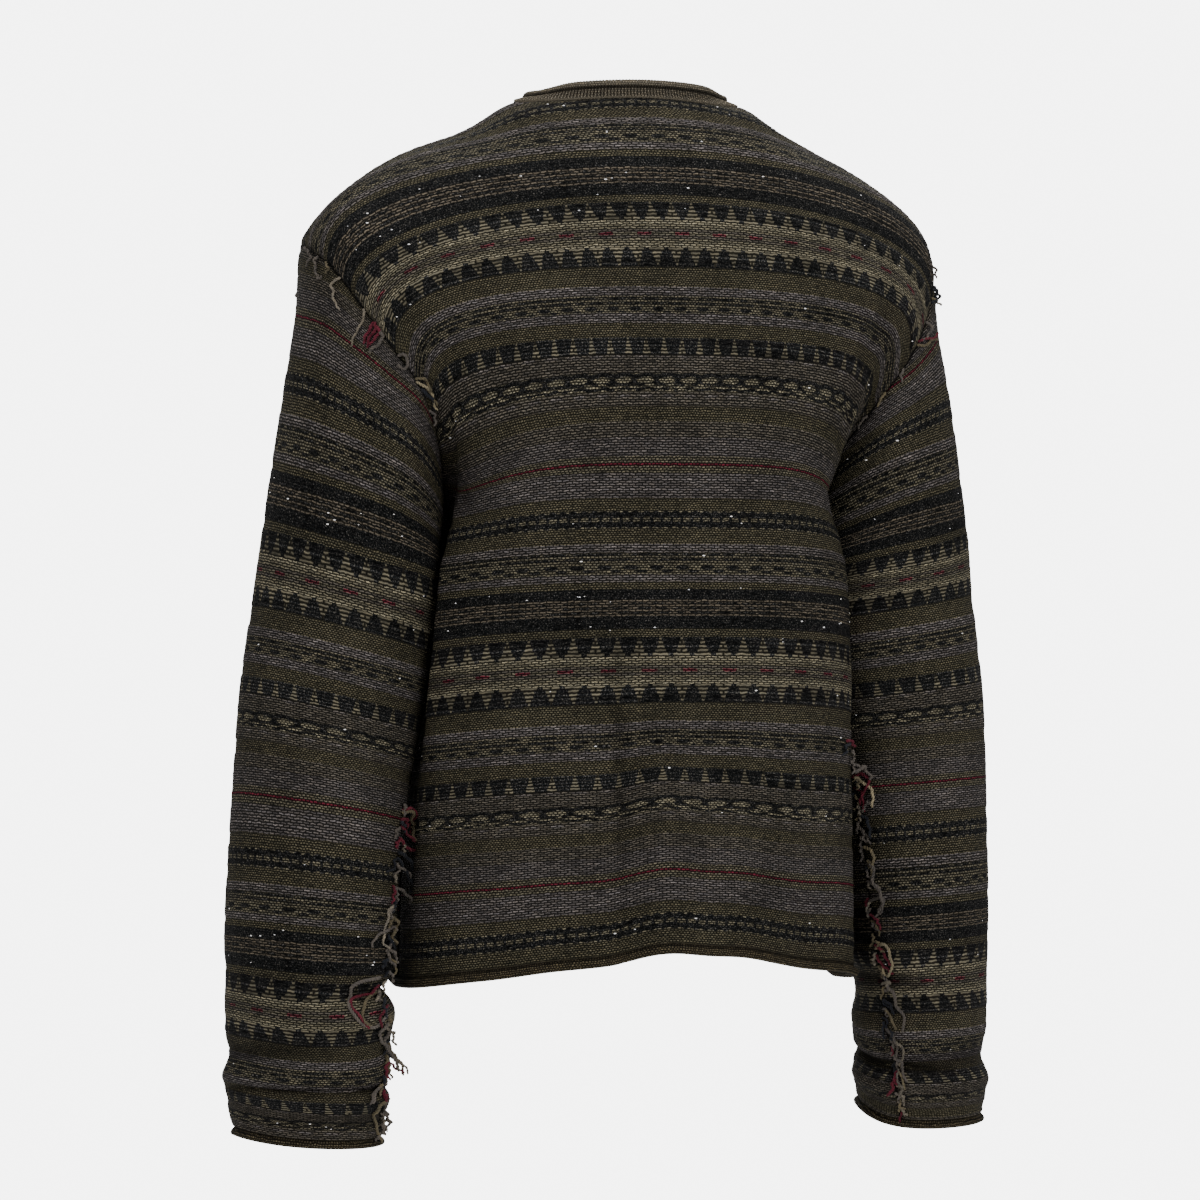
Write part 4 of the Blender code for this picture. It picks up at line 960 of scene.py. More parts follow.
def finish_wool(tree, shader, place, colour, width, height, gap_shade_tone, depth, bump):
    """Lay stitches, painted shade in the gaps between yarns and mottle over a yarn colour; give it
    to the shader.
    """
    knit = use_group(tree, stitches, {"Cloth": place, "Width": width, "Height": height,
                                      "Gap": 0.50})
    wool = use_group(tree, melange, {"Cloth": place, "Color": colour,
                                     "Chance": knit.outputs["Chance"], "Depth": depth})
    # Painted shade in the gaps between the yarns, from the stitch profile.
    shade = mix_value(tree, knit.outputs["Yarn"], gap_shade_tone, 1.0)
    shade = wire(tree, "ShaderNodeCombineXYZ", {0: shade, 1: shade, 2: shade})
    final = mix_colour(tree, 1.0, wool.outputs["Color"], shade.outputs[0], "MULTIPLY")
    tree.links.new(final, shader.inputs["Base Color"])
    relief = wire(tree, "ShaderNodeBump", {"Strength": bump, "Distance": 0.0007,
                                           "Height": knit.outputs["Yarn"]})
    tree.links.new(relief.outputs[0], shader.inputs["Normal"])


def jacquard_wool(name):
    """Make a cloth piece's material: chart, painted shade at seams, folds and roll, plain olive
    edge.
    """
    material, tree, shader = wool_shader(name)
    place = use_group(tree, wandering, {"Cloth": chart_place(tree), "Wander": 1.6}).outputs[0]
    chart = use_group(tree, chart_group, {"Cloth": place})
    rolled = wire(tree, "ShaderNodeAttribute", attribute_name="rolled").outputs["Fac"]
    seam = wire(tree, "ShaderNodeAttribute", attribute_name="seam").outputs["Fac"]
    pale = calc(tree, "MULTIPLY", chart.outputs["Pale"], 0.55)
    colour = mix_colour(tree, pale, chart.outputs["Color"], PALE_FIGURE)
    colour = mix_colour(tree, rolled, colour, EDGE_YARN)
    # Painted shade: darken towards the shade colour where the seam attribute says, in seam
    # valleys, fold bottoms and the roll's groove.
    colour = mix_colour(tree, calc(tree, "MULTIPLY", seam, 0.7), colour, PAINTED_SHADE_TONE)
    width = mix_value(tree, rolled, chart.outputs["Width"], EDGE_STITCH[0])
    height = mix_value(tree, rolled, chart.outputs["Height"], EDGE_STITCH[1])
    dark = calc(tree, "MULTIPLY", chart.outputs["Dark"], calc(tree, "SUBTRACT", 1.0, rolled))
    specks = wire(tree, "ShaderNodeTexNoise", {"Vector": place, "Scale": 0.95, "Detail": 2.0},
                  noise_dimensions="2D")
    specks = wire(tree, "ShaderNodeMapRange", {"Value": specks.outputs["Fac"], "From Min": 0.52,
                                               "From Max": 0.66})
    specks = calc(tree, "MULTIPLY", specks.outputs[0], calc(tree, "MULTIPLY", dark, 0.55))
    colour = mix_colour(tree, specks, colour, SPECK_TONE)
    gap_shade_tone = mix_value(tree, dark, *GAP_SHADE_TONES)
    depth = mix_value(tree, dark, *MOTTLES)
    finish_wool(tree, shader, chart.outputs["Place"], colour, width, height, gap_shade_tone, depth, 0.7)
    return material


def banded_wool(name, colour, width, height):
    """Make a one-colour wool with stitches of a given size, and painted shade in its yarn gaps,
    rib grooves and crease.
    """
    material, tree, shader = wool_shader(name)
    place = use_group(tree, wandering, {"Cloth": chart_place(tree), "Wander": 0.5}).outputs[0]
    # Painted shade in the grooves between ribs and in the crease under the roll.
    groove_shade = wire(tree, "ShaderNodeAttribute", attribute_name="groove_shade").outputs["Fac"]
    shaded = mix_colour(tree, groove_shade, colour, tuple(0.16 * value for value in colour))
    finish_wool(tree, shader, place, shaded, width, height, 0.20, 1.0, 0.5)
    return material


def fibre_wool(name, colour, depth, fibre_scale, bump):
    """Make the wool of loose fibre; colour is one colour or the name of an attribute."""
    material, tree, shader = wool_shader(name, FIBRE_SHEEN)
    place = scaled(tree, wire(tree, "ShaderNodeTexCoord").outputs["Object"], 1000.0)
    if isinstance(colour, str):
        colour = wire(tree, "ShaderNodeAttribute", attribute_name=colour).outputs["Color"]
    wool = use_group(tree, melange, {"Cloth": place, "Color": colour, "Depth": depth})
    tree.links.new(wool.outputs["Color"], shader.inputs["Base Color"])
    fibre = wire(tree, "ShaderNodeTexNoise", {"Vector": place, "Scale": fibre_scale,
                                              "Detail": 2.0})
    fuzz = wire(tree, "ShaderNodeBump", {"Strength": bump, "Distance": 0.0003,
                                         "Height": fibre.outputs["Fac"]})
    tree.links.new(fuzz.outputs[0], shader.inputs["Normal"])
    return material


body_wool = jacquard_wool("body_jacquard_wool")
sleeve_wool = jacquard_wool("sleeve_jacquard_wool")
rib_wool = banded_wool("rib_wool_olive", srgb(124, 117, 104), 1.8, 1.5)
end_wool = fibre_wool("loose_end_wool", "yarn_colour", 1.2, 3.0, 0.6)
print("materials:", body_wool.name, sleeve_wool.name, rib_wool.name)

# %% [markdown]
# ## Back and front
# The back and the front are two rectangles of the same cloth with different neck scoops.  They
# are laid on the rows of the solids.  Each stripe stands a little proud or sinks a little, and
# each stitch is moved by a hair's breadth, so that the outline of the wool isn't too clean.

# %% Make the body panels
PANEL_STEPS = 292
SURFACE_ROWS = 340


def body_surface(side, heights):
    """Return points of a panel's middle at every height for all of its columns."""
    shares = HALF_COLUMNS / HALF_PANEL
    rows = []
    for v in heights:
        half = body_row(side, v, shares)
        rows.append(np.concatenate([half[:0:-1] * (-1.0, 1.0, 1.0), half]))
    points = np.array(rows)
    u = PANEL_COLUMNS[None, :]
    v = np.asarray(heights)[:, None]
    out = np.zeros(points.shape[:2])
    lift = np.zeros(points.shape[:2])
    for panel, across, first, full, half_width, depth, rise in BODY_FOLDS:
        if panel == side:
            share = ease((v - first) / (full - first)) * np.exp(-((u - across) / half_width) ** 2)
            out += depth * share
            lift += rise * share
    for panel, *line in BODY_CREASES:
        if panel == side:
            out += crease(u, v, *line)
    away = unit(points * (1.0, 1.0, 0.0))
    for hand, hollow in NECK_HOLLOW.items():
        near = np.exp(-((hand * points[:, :, 0] - HOLLOW_AT) / HOLLOW_WIDTH) ** 2)
        lift -= hollow * (1.0 - ease(v / HOLLOW_LENGTH)) * near
    beside = np.exp(-((np.abs(u) - SPREAD_AT) / SPREAD_SIZE[0]) ** 2 - (v / SPREAD_SIZE[1]) ** 2)
    points[:, :, 0] += np.sign(u) * NECK_SPREAD[0] * beside
    lift += NECK_SPREAD[1] * beside
    points = points + away * out[:, :, None]
    points[:, :, 2] += lift
    return points


def down_columns(surface, heights, wanted):
    """Return the surface's points at the wanted heights, column by column."""
    result = np.empty((*wanted.shape, 3))
    for column in range(wanted.shape[1]):
        for k in range(3):
            result[:, column, k] = np.interp(wanted[:, column], heights, surface[:, column, k])
    return result


def make_panel(name, side, material, seed):
    """Make the back or the front; also return its neck edge and the normals there."""
    length, armhole = LENGTH[side], ARMHOLE[side]
    heights = np.linspace(0.0, length, SURFACE_ROWS)
    surface = body_surface(side, heights)
    straight = length - STRAIGHT_UP
    upper = int(round(PANEL_STEPS * armhole / straight))
    base = np.concatenate([np.linspace(0.0, armhole, upper + 1),
                           np.linspace(armhole, straight, PANEL_STEPS - upper + 1)[1:]])
    edge = neck_edge(side, PANEL_COLUMNS)[None, :]
    down = np.where(base[:, None] < armhole, edge + base[:, None] * (1.0 - edge / armhole),
                    base[:, None])
    net = down_columns(surface, heights, down)
    normals = grid_normals(net, side < 0)
    roll_down = np.repeat([[length - up] for up, _ in ROLL], len(PANEL_COLUMNS), axis=1)
    roll_net = down_columns(surface, heights, roll_down)
    across = np.repeat(PANEL_COLUMNS[None, :], len(base), axis=0)
    amount, full, none = NECK_STRETCH
    taken = amount * (1.0 - ease((down - full) / (none - full)))
    chart = np.stack([across, down + (BODY_CHART_START + taken) / 1000.0], axis=-1)
    roll_chart = np.stack([across[:len(ROLL)], roll_down + BODY_CHART_START / 1000.0], axis=-1)
    rng = np.random.default_rng(seed)
    relief = stripe_relief(chart[:, :, 1]) + rng.normal(0.0, STITCH_RELIEF, down.shape)
    from_seam = np.minimum(HALF_PANEL - np.abs(across), down - edge)
    hollow = np.zeros(down.shape)
    for panel, *line in BODY_CREASES:
        if panel == side:
            hollow += crease(across, down, *line)
    item = make_cloth(name, net, roll_net, normals, chart, roll_chart, relief, from_seam, hollow,
                      material)
    return item, net, normals


back, back_net, back_normals = make_panel("back_cloth", 1, body_wool, 5)
front, front_net, front_normals = make_panel("front_cloth", -1, body_wool, 6)

# %% [markdown]
# ## Sleeves
# A sleeve is a tapered tube whose long seam lies at the inner side.  Its top edge follows the
# armhole, and its rows settle into rings further down.  Both sleeves come from one function,
# with their own turn, their own folds at the cuff, and their own stretch of the chart.

# %% Make the sleeves
SLEEVE_COLUMNS = 184
SLEEVE_STEPS = 272
CREASE_GIRTH = 0.36                    # metres round a sleeve, for the creases' widths
LIFT_WIDTH = 0.13
LIFT_RUN = (0.50, 0.115)               # w where the cuff starts to be raised, and over what length
JOINED_SHARE = 0.78                    # creases run across the seam up to this share


def sleeve_top(share):
    """Return how far down the cloth of the sleeve its top edge lies."""
    return SLEEVE_CAP * ((1.0 - math.cos(2.0 * math.pi * share)) / 2.0) ** 1.2


def sleeve_column(side, share, w):
    """Return a sleeve's points down one column, for heights w."""
    share = share % 1.0
    top = sleeve_top(share)
    if share <= 0.5:
        seam = along(ARMHOLE_HALF[1], 2.0 * share)
    else:
        seam = along(ARMHOLE_HALF[-1], 2.0 * (1.0 - share))

    def ring_point(w, climb):
        more_turn = track(SLEEVE_MORE_TURN[side], 1)(w)
        angle = 2.0 * math.pi * share - np.radians(RING["seam_turn"](w) + more_turn)
        across = RING["half_x"](w) * np.cos(angle)
        deep = RING["half_y"](w) * np.sin(angle)
        turn = np.radians(RING["turn"](w))
        x = across * np.cos(turn) + deep * np.sin(turn)
        y = deep * np.cos(turn) - across * np.sin(turn)
        climb = 1.0 + (climb - 1.0) * ease((w - CLIMB_SETTLES[0]) / CLIMB_SETTLES[1])
        z = RING["z"](w) + climb * x * RING["climb_out"](w) + y * RING["climb_back"](w)
        return np.stack([RING["x"](w) + x, RING["y"](w) + y, z], axis=-1)

    pull = seam - ring_point(np.array(top), 1.0)
    point = ring_point(w, 1.0 if side > 0 else RIGHT_CLIMB)
    point = point + pull * (1.0 - ease((w - top) / SLEEVE_SETTLE))[:, None]
    centre = np.stack([RING["x"](w), RING["y"](w), point[:, 2]], axis=-1)
    out = np.zeros(len(w))
    for sleeve, fold_w, fold_share, half_down, half_round, depth in SLEEVE_FOLDS:
        if sleeve == side:
            across = (share - fold_share + 0.5) % 1.0 - 0.5
            out += depth * np.exp(-((w - fold_w) / half_down) ** 2 - (across / half_round) ** 2)
    signed = share if share <= JOINED_SHARE else share - 1.0
    for sleeve, share0, w0, share1, w1, half_width, depth in SLEEVE_CREASES:
        if sleeve == side:
            out += crease(signed * CREASE_GIRTH, w, share0 * CREASE_GIRTH, w0,
                          share1 * CREASE_GIRTH, w1, half_width, depth)
    point = point + unit(point - centre) * out[:, None]
    lift_share, lifted = CUFF_LIFT[side]
    across = (share - lift_share + 0.5) % 1.0 - 0.5
    raised = ease((w - LIFT_RUN[0]) / LIFT_RUN[1])
    point[:, 2] += lifted * math.exp(-(across / LIFT_WIDTH) ** 2) * raised
    point[:, 0] *= side
    return point, out


def make_sleeve(name, side, material, seed):
    """Make one sleeve; also return its net and normals."""
    shares = np.linspace(-0.5, 0.5, SLEEVE_COLUMNS + 1)
    straight = SLEEVE_LENGTH - STRAIGHT_UP
    steps = np.arange(SLEEVE_STEPS + 1) / SLEEVE_STEPS
    tops = np.array([sleeve_top(share) for share in shares])
    down = tops[None, :] + (straight - tops)[None, :] * steps[:, None]
    roll_down = np.repeat([[SLEEVE_LENGTH - up] for up, _ in ROLL], len(shares), axis=1)
    both = np.concatenate([down, roll_down])
    inner = np.where(np.abs(shares) == 0.5, 0.5, shares)
    made = [sleeve_column(side, share, both[:, k]) for k, share in enumerate(inner)]
    points = np.stack([point for point, _ in made], axis=1)
    hollow = np.stack([out for _, out in made], axis=1)[:len(steps)]
    net, roll_net = points[:len(steps)], points[len(steps):]
    normals = grid_normals(net, side > 0)
    seam_normal = unit(normals[:, 0] + normals[:, -1])
    normals[:, 0] = seam_normal
    normals[:, -1] = seam_normal
    girth = np.linalg.norm(np.diff(points, axis=1), axis=2).sum(axis=1)[:, None]
    across = shares[None, :] * girth
    outer_taken, seam_taken = (track(SLEEVE_STRETCH[side], k)(both) for k in (1, 2))
    inwards = (1.0 - np.cos(2.0 * math.pi * shares))[None, :] / 2.0
    taken = outer_taken + (seam_taken - outer_taken) * inwards
    for sleeve, pinch_share, pinch_w, half_share, half_w, swallowed in CUFF_PINCHES:
        if sleeve == side:
            off = (shares[None, :] - pinch_share + 0.5) % 1.0 - 0.5
            down_off = both - pinch_w
            taken += swallowed * np.exp(-(off / half_share) ** 2 - (down_off / half_w) ** 2)
    places = np.stack([across, both + (SLEEVE_CHART_START + taken) / 1000.0], axis=-1)
    chart, roll_chart = places[:len(steps)], places[len(steps):]
    rng = np.random.default_rng(seed)
    relief = stripe_relief(chart[:, :, 1]) + rng.normal(0.0, STITCH_RELIEF, down.shape)
    from_side = (0.5 - np.abs(shares))[None, :] * girth[:len(steps)]
    from_seam = np.minimum(from_side, down - tops[None, :])
    item = make_cloth(name, net, roll_net, normals, chart, roll_chart, relief, from_seam, hollow,
                      material)
    print(name, "girth", round(float(girth[60, 0]), 3), "to", round(float(girth[-1, 0]), 3))
    return item, net, normals


sleeve_left, left_net, left_normals = make_sleeve("sleeve_left_cloth", 1, sleeve_wool, 7)
sleeve_right, right_net, right_normals = make_sleeve("sleeve_right_cloth", -1, sleeve_wool, 8)

# %% [markdown]
# ## Neckband
# The neckband is a narrow upright rib that ends in a small roll.  Its plain band is swept along
# the neck seam, and Geometry Nodes raise the ribs on it: the tree moves each point out along
# its normal by a wave that runs round the band.  Named inputs set how many ribs there are and
# how deep they are, which is easier to tune than remodelling them.

# %% Geometry Nodes helpers
def new_tree(name, inputs):
    """Make a Geometry Nodes tree with named inputs; return it with its two end nodes."""
    tree = bpy.data.node_groups.new(name, "GeometryNodeTree")
    tree.interface.new_socket("Geometry", in_out="INPUT", socket_type="NodeSocketGeometry")
    tree.interface.new_socket("Geometry", in_out="OUTPUT", socket_type="NodeSocketGeometry")
    for key, kind, value in inputs:
        socket = tree.interface.new_socket(key, in_out="INPUT", socket_type=kind)
        socket.default_value = value
    return tree, tree.nodes.new("NodeGroupInput"), tree.nodes.new("NodeGroupOutput")


def named(tree, name, data_type="FLOAT"):
    """Return a named attribute of the geometry."""
    node = tree.nodes.new("GeometryNodeInputNamedAttribute")
    node.data_type = data_type
    node.inputs["Name"].default_value = name
    return node.outputs["Attribute"]


def close_tree(tree, geometry, material, end):
    """Make grown geometry real and smooth, and hand it out in its material."""
    real = wire(tree, "GeometryNodeRealizeInstances", {0: geometry})
    smooth = wire(tree, "GeometryNodeSetShadeSmooth", {"Geometry": real.outputs[0]})
    finish = wire(tree, "GeometryNodeSetMaterial", {"Geometry": smooth.outputs[0],
                                                    "Material": material})
    tree.links.new(finish.outputs[0], end.inputs[0])
    print("tree:", tree.name)


def grow(source, name, tree, inputs):
    """Run a Geometry Nodes tree on an object and return the result as a plain mesh object."""
    modifier = source.modifiers.new("grow", "NODES")
    modifier.node_group = tree
    for item in tree.interface.items_tree:
        if item.item_type == "SOCKET" and item.in_out == "INPUT" and item.name in inputs:
            modifier[item.identifier] = inputs[item.name]
    graph = bpy.context.evaluated_depsgraph_get()
    graph.update()
    mesh = bpy.data.meshes.new_from_object(source.evaluated_get(graph), depsgraph=graph)
    mesh.name = name
    source.modifiers.remove(modifier)
    item = bpy.data.objects.new(name, mesh)
    bpy.context.scene.collection.objects.link(item)
    bpy.data.objects.remove(source)
    print(name, "has", len(mesh.polygons), "faces")
    return item


# %% The rib tree
rib_tree, start, end = new_tree("neckband_ribs", [
    ("Rib Count", "NodeSocketInt", 200), ("Rib Depth", FLOAT, 0.0006),
    ("Unevenness", FLOAT, 0.35), ("Seed", "NodeSocketInt", 3)])
turn = calc(rib_tree, "MULTIPLY", named(rib_tree, "round"), start.outputs["Rib Count"])
wave = calc(rib_tree, "COSINE", calc(rib_tree, "MULTIPLY", turn, 2 * math.pi))
luck = wire(rib_tree, "FunctionNodeRandomValue",
            {"ID": calc(rib_tree, "ROUND", turn), "Seed": start.outputs["Seed"]},
            data_type="FLOAT").outputs[1]
uneven = calc(rib_tree, "SUBTRACT", 1.0, calc(rib_tree, "MULTIPLY", luck,
                                              start.outputs["Unevenness"]))
height = calc(rib_tree, "MULTIPLY", calc(rib_tree, "MULTIPLY", wave, uneven),
              calc(rib_tree, "MULTIPLY", named(rib_tree, "ribbed"), start.outputs["Rib Depth"]))
normal = rib_tree.nodes.new("GeometryNodeInputNormal")
place = wire(rib_tree, "GeometryNodeSetPosition",
             {"Geometry": start.outputs["Geometry"],
              "Offset": scaled(rib_tree, normal.outputs[0], height)})
# Painted shade, stored for the material: darkest in the troughs of the rib wave and in the crease
# under the roll.
groove_shade = calc(rib_tree, "MULTIPLY_ADD", calc(rib_tree, "MULTIPLY_ADD", wave, -0.5, 0.5),
              named(rib_tree, "ribbed"), named(rib_tree, "crease"))
stored = wire(rib_tree, "GeometryNodeStoreNamedAttribute",
              {"Geometry": place.outputs[0], "Name": "groove_shade", "Value": groove_shade},
              data_type="FLOAT", domain="POINT")
close_tree(rib_tree, stored.outputs[0], rib_wool, end)

# %% Make the neckband
BAND_COLUMNS = 1200
RIB_COUNT = 200
RIB_DEPTH = 0.00065
LEAN_POWER = 10                        # keeps the strong lean to the two sides of the neck
FACING_REACH = 0.012                   # over what length the band's facing is smoothed
COURSE_REACH = 0.020                   # the same for its course
SOFT_SHARE = 0.8                       # how much of the smooth course its top edge follows
BAND_CREASE = (0.0072, 0.0082)         # heights between which the crease under the roll lies; it gets painted shade
BAND_SECTION = [
    # out from the seam line, up, how ribbed
    (0.0012, 0.0000, 0.2), (0.0015, 0.0006, 0.8), (0.0016, 0.0020, 1.0), (0.0017, 0.0036, 1.0),
    (0.0017, 0.0052, 1.0), (0.0017, 0.0066, 0.9), (0.0012, 0.0074, 0.4), (0.0012, 0.0080, 0.2),
    (0.0026, 0.0081, 0.2), (0.0039, 0.0087, 0.3), (0.0046, 0.0099, 0.4), (0.0046, 0.0112, 0.4),
    (0.0039, 0.0123, 0.4), (0.0026, 0.0129, 0.4), (0.0010, 0.0130, 0.3), (-0.0004, 0.0126, 0.2),
    (-0.0013, 0.0116, 0.0), (-0.0016, 0.0100, 0.0), (-0.0015, 0.0075, 0.0), (-0.0014, 0.0040, 0.0),
    (-0.0012, 0.0, 0.0),
]
neck = np.abs(PANEL_COLUMNS) <= NECK_HALF_WIDTH + 1e-9
scoop = np.concatenate([back_net[0, neck], front_net[0, neck][-2:0:-1]])
scoop_normal = np.concatenate([back_normals[0, neck], front_normals[0, neck][-2:0:-1]])
scoop = np.vstack([scoop, scoop[:1]])
scoop_normal = np.vstack([scoop_normal, scoop_normal[:1]])
run = np.concatenate([[0.0], np.cumsum(np.linalg.norm(np.diff(scoop, axis=0), axis=1))])
BAND_LENGTH = float(run[-1])
stops = np.arange(BAND_COLUMNS) / BAND_COLUMNS * BAND_LENGTH


def soften(values, reach):
    """Smooth values round a closed ring."""
    steps = int(reach / BAND_LENGTH * BAND_COLUMNS)
    weight = np.exp(-np.linspace(-2.0, 2.0, 2 * steps + 1) ** 2)
    weight /= weight.sum()
    wrapped = np.concatenate([values[-steps:], values, values[:steps]])
    return np.stack([np.convolve(wrapped[:, k], weight, mode="valid")
                     for k in range(values.shape[1])], axis=-1)


foot = np.stack([np.interp(stops, run, scoop[:, k]) for k in range(3)], axis=-1)
foot_normal = unit(soften(np.stack([np.interp(stops, run, scoop_normal[:, k])
                                    for k in range(3)], axis=-1), FACING_REACH))
soft_foot = soften(foot, COURSE_REACH)
around = unit(np.roll(soft_foot, -1, axis=0) - np.roll(soft_foot, 1, axis=0))
up_cloth = unit(np.cross(around, foot_normal))
up_cloth *= np.sign(np.sum(up_cloth[:, 2]))
inward = unit(-soft_foot * (1.0, 1.0, 0.0))
at_side = inward[:, :1] ** LEAN_POWER
lean_share = BAND_LEAN["back"] + (BAND_LEAN["side"] - BAND_LEAN["back"]) * at_side
lean_share = np.minimum(lean_share, BAND_LEAN["most"])
rise = unit(inward * lean_share + np.array([0.0, 0.0, 1.0]))
rings = []
for out, up, _ in BAND_SECTION:
    bend = ease(up / BAND_HEIGHT)
    lean = unit(up_cloth * (1.0 - bend) + rise * bend)
    outward = unit(np.cross(lean, around))
    outward *= np.sign(np.sum(outward * foot_normal, axis=1))[:, None]
    course = foot * (1.0 - SOFT_SHARE * bend) + soft_foot * SOFT_SHARE * bend
    rings.append(course + lean * up + outward * out)
rings = np.array(rings)
count = len(BAND_SECTION)
ids = np.arange(count * BAND_COLUMNS).reshape(count, BAND_COLUMNS)
beside = np.roll(ids, -1, axis=1)
band_faces = np.stack([ids, beside, np.roll(beside, -1, axis=0), np.roll(ids, -1, axis=0)],
                      axis=-1).reshape(-1, 4).tolist()
section_run = np.concatenate([[0.0], np.cumsum(np.linalg.norm(
    np.diff([row[:2] for row in BAND_SECTION], axis=0), axis=1))])
band_chart = np.stack(np.broadcast_arrays(stops[None, :], section_run[:, None]), axis=-1)
# painted shade in the crease under the roll
crease_shade = [0.9 if BAND_CREASE[0] < up < BAND_CREASE[1] and out > 0.0 else 0.0
           for out, up, _ in BAND_SECTION]
band = new_piece("neckband_plain", rings.reshape(-1, 3), band_faces, rib_wool,
                 {"round": np.tile(stops / BAND_LENGTH, count),
                  "ribbed": np.repeat([row[2] for row in BAND_SECTION], BAND_COLUMNS),
                  "crease": np.repeat(crease_shade, BAND_COLUMNS)},
                 band_chart.reshape(-1, 2))
turn_outwards(band)
neckband = grow(band, "neckband_rib", rib_tree, {
    "Rib Count": RIB_COUNT, "Rib Depth": RIB_DEPTH, "Unevenness": 0.35, "Seed": 3})
print("neckband:", round(BAND_LENGTH, 3), "m round,", RIB_COUNT, "ribs")

# %% [markdown]
# ## Loose yarn ends
# On the real sweater the yarns are cut at each stripe and the ends are left outside on the
# seams: short two-ply strands, small loops and a few thicker tufts.  The courses of those that
# stand out are listed as steps to the right and down from their roots, and short ones fill the
# long seams.  Each is laid on the face of the cloth so that none sinks in, and Geometry Nodes
# sweep the courses into twisted yarn.

# %% Courses of the loose ends
END_YARNS = {
    "grey": srgb(66, 62, 59), "khaki": srgb(74, 68, 54), "ecru": srgb(104, 97, 80),
    "burgundy": srgb(66, 22, 32), "ink": srgb(22, 24, 29), "pale": srgb(84, 79, 71),
}
LEFT_ARMHOLE_ENDS = [
    # share of the back half, yarn, thickness in mm, (right, down) steps in mm
    (0.10, "grey", 0.45, [(0, 0), (4, 3), (5, 9), (2, 14)]),
    (0.20, "grey", 0.45, [(0, 0), (-2, 5), (-1, 12), (1, 16), (4, 14)]),
    (0.24, "khaki", 0.40, [(0, 0), (3, 4), (2, 9)]),
    (0.31, "pale", 0.45, [(0, 0), (-4, 4), (-4, 10), (-2, 17), (0, 22)]),
    (0.41, "pale", 0.45, [(0, 0), (1, 4), (-2, 11), (-5, 18), (-8, 25)]),
    (0.450, "burgundy", 0.60, [(0, 0), (-1, 5), (-4, 10), (-6, 15)]),
    (0.455, "burgundy", 0.60, [(0, -1), (1, 4), (-3, 9), (-5, 16)]),
    (0.462, "burgundy", 0.55, [(0, 0), (3, 3), (0, 8), (-4, 13)]),
    (0.475, "grey", 0.60, [(0, 0), (2, 4), (-1, 9), (-5, 12), (-7, 14)]),
    (0.545, "grey", 0.55, [(0, 0), (4, -1), (7, 3), (6, 8), (2, 10), (0, 7)]),
    (0.610, "khaki", 0.50, [(0, 0), (5, 1), (9, 6), (12, 12), (16, 17)]),
    (0.615, "ecru", 0.50, [(0, 1), (4, 3), (8, 7), (11, 13), (15, 18)]),
    (0.640, "ink", 0.60, [(0, 0), (3, 4), (7, 9), (9, 14)]),
    (0.700, "grey", 0.45, [(0, 0), (3, 5), (2, 11)]),
]
RIGHT_ARMHOLE_ENDS = [
    (0.18, "grey", 0.45, [(0, 0), (3, 4), (2, 10)]),
    (0.30, "ink", 0.60, [(0, 0), (1, 3), (1, 8), (-2, 12)]),
    (0.31, "ink", 0.55, [(0, 0), (2, 1), (3, 5), (0, 9)]),
    (0.34, "khaki", 0.45, [(0, 0), (3, 3), (7, 5)]),
    (0.42, "grey", 0.50, [(0, 0), (3, 4), (0, 10), (-3, 14)]),
    (0.48, "burgundy", 0.45, [(0, 0), (5, -2), (10, -4), (15, -7)]),
    (0.49, "khaki", 0.50, [(0, 0), (5, 0), (10, -3), (15, -5)]),
    (0.56, "grey", 0.45, [(0, 0), (-3, 5), (-2, 9)]),
    (0.63, "khaki", 0.45, [(0, 0), (-4, 4), (-5, 10)]),
    (0.70, "grey", 0.45, [(0, 0), (-3, 5), (-6, 9)]),
]
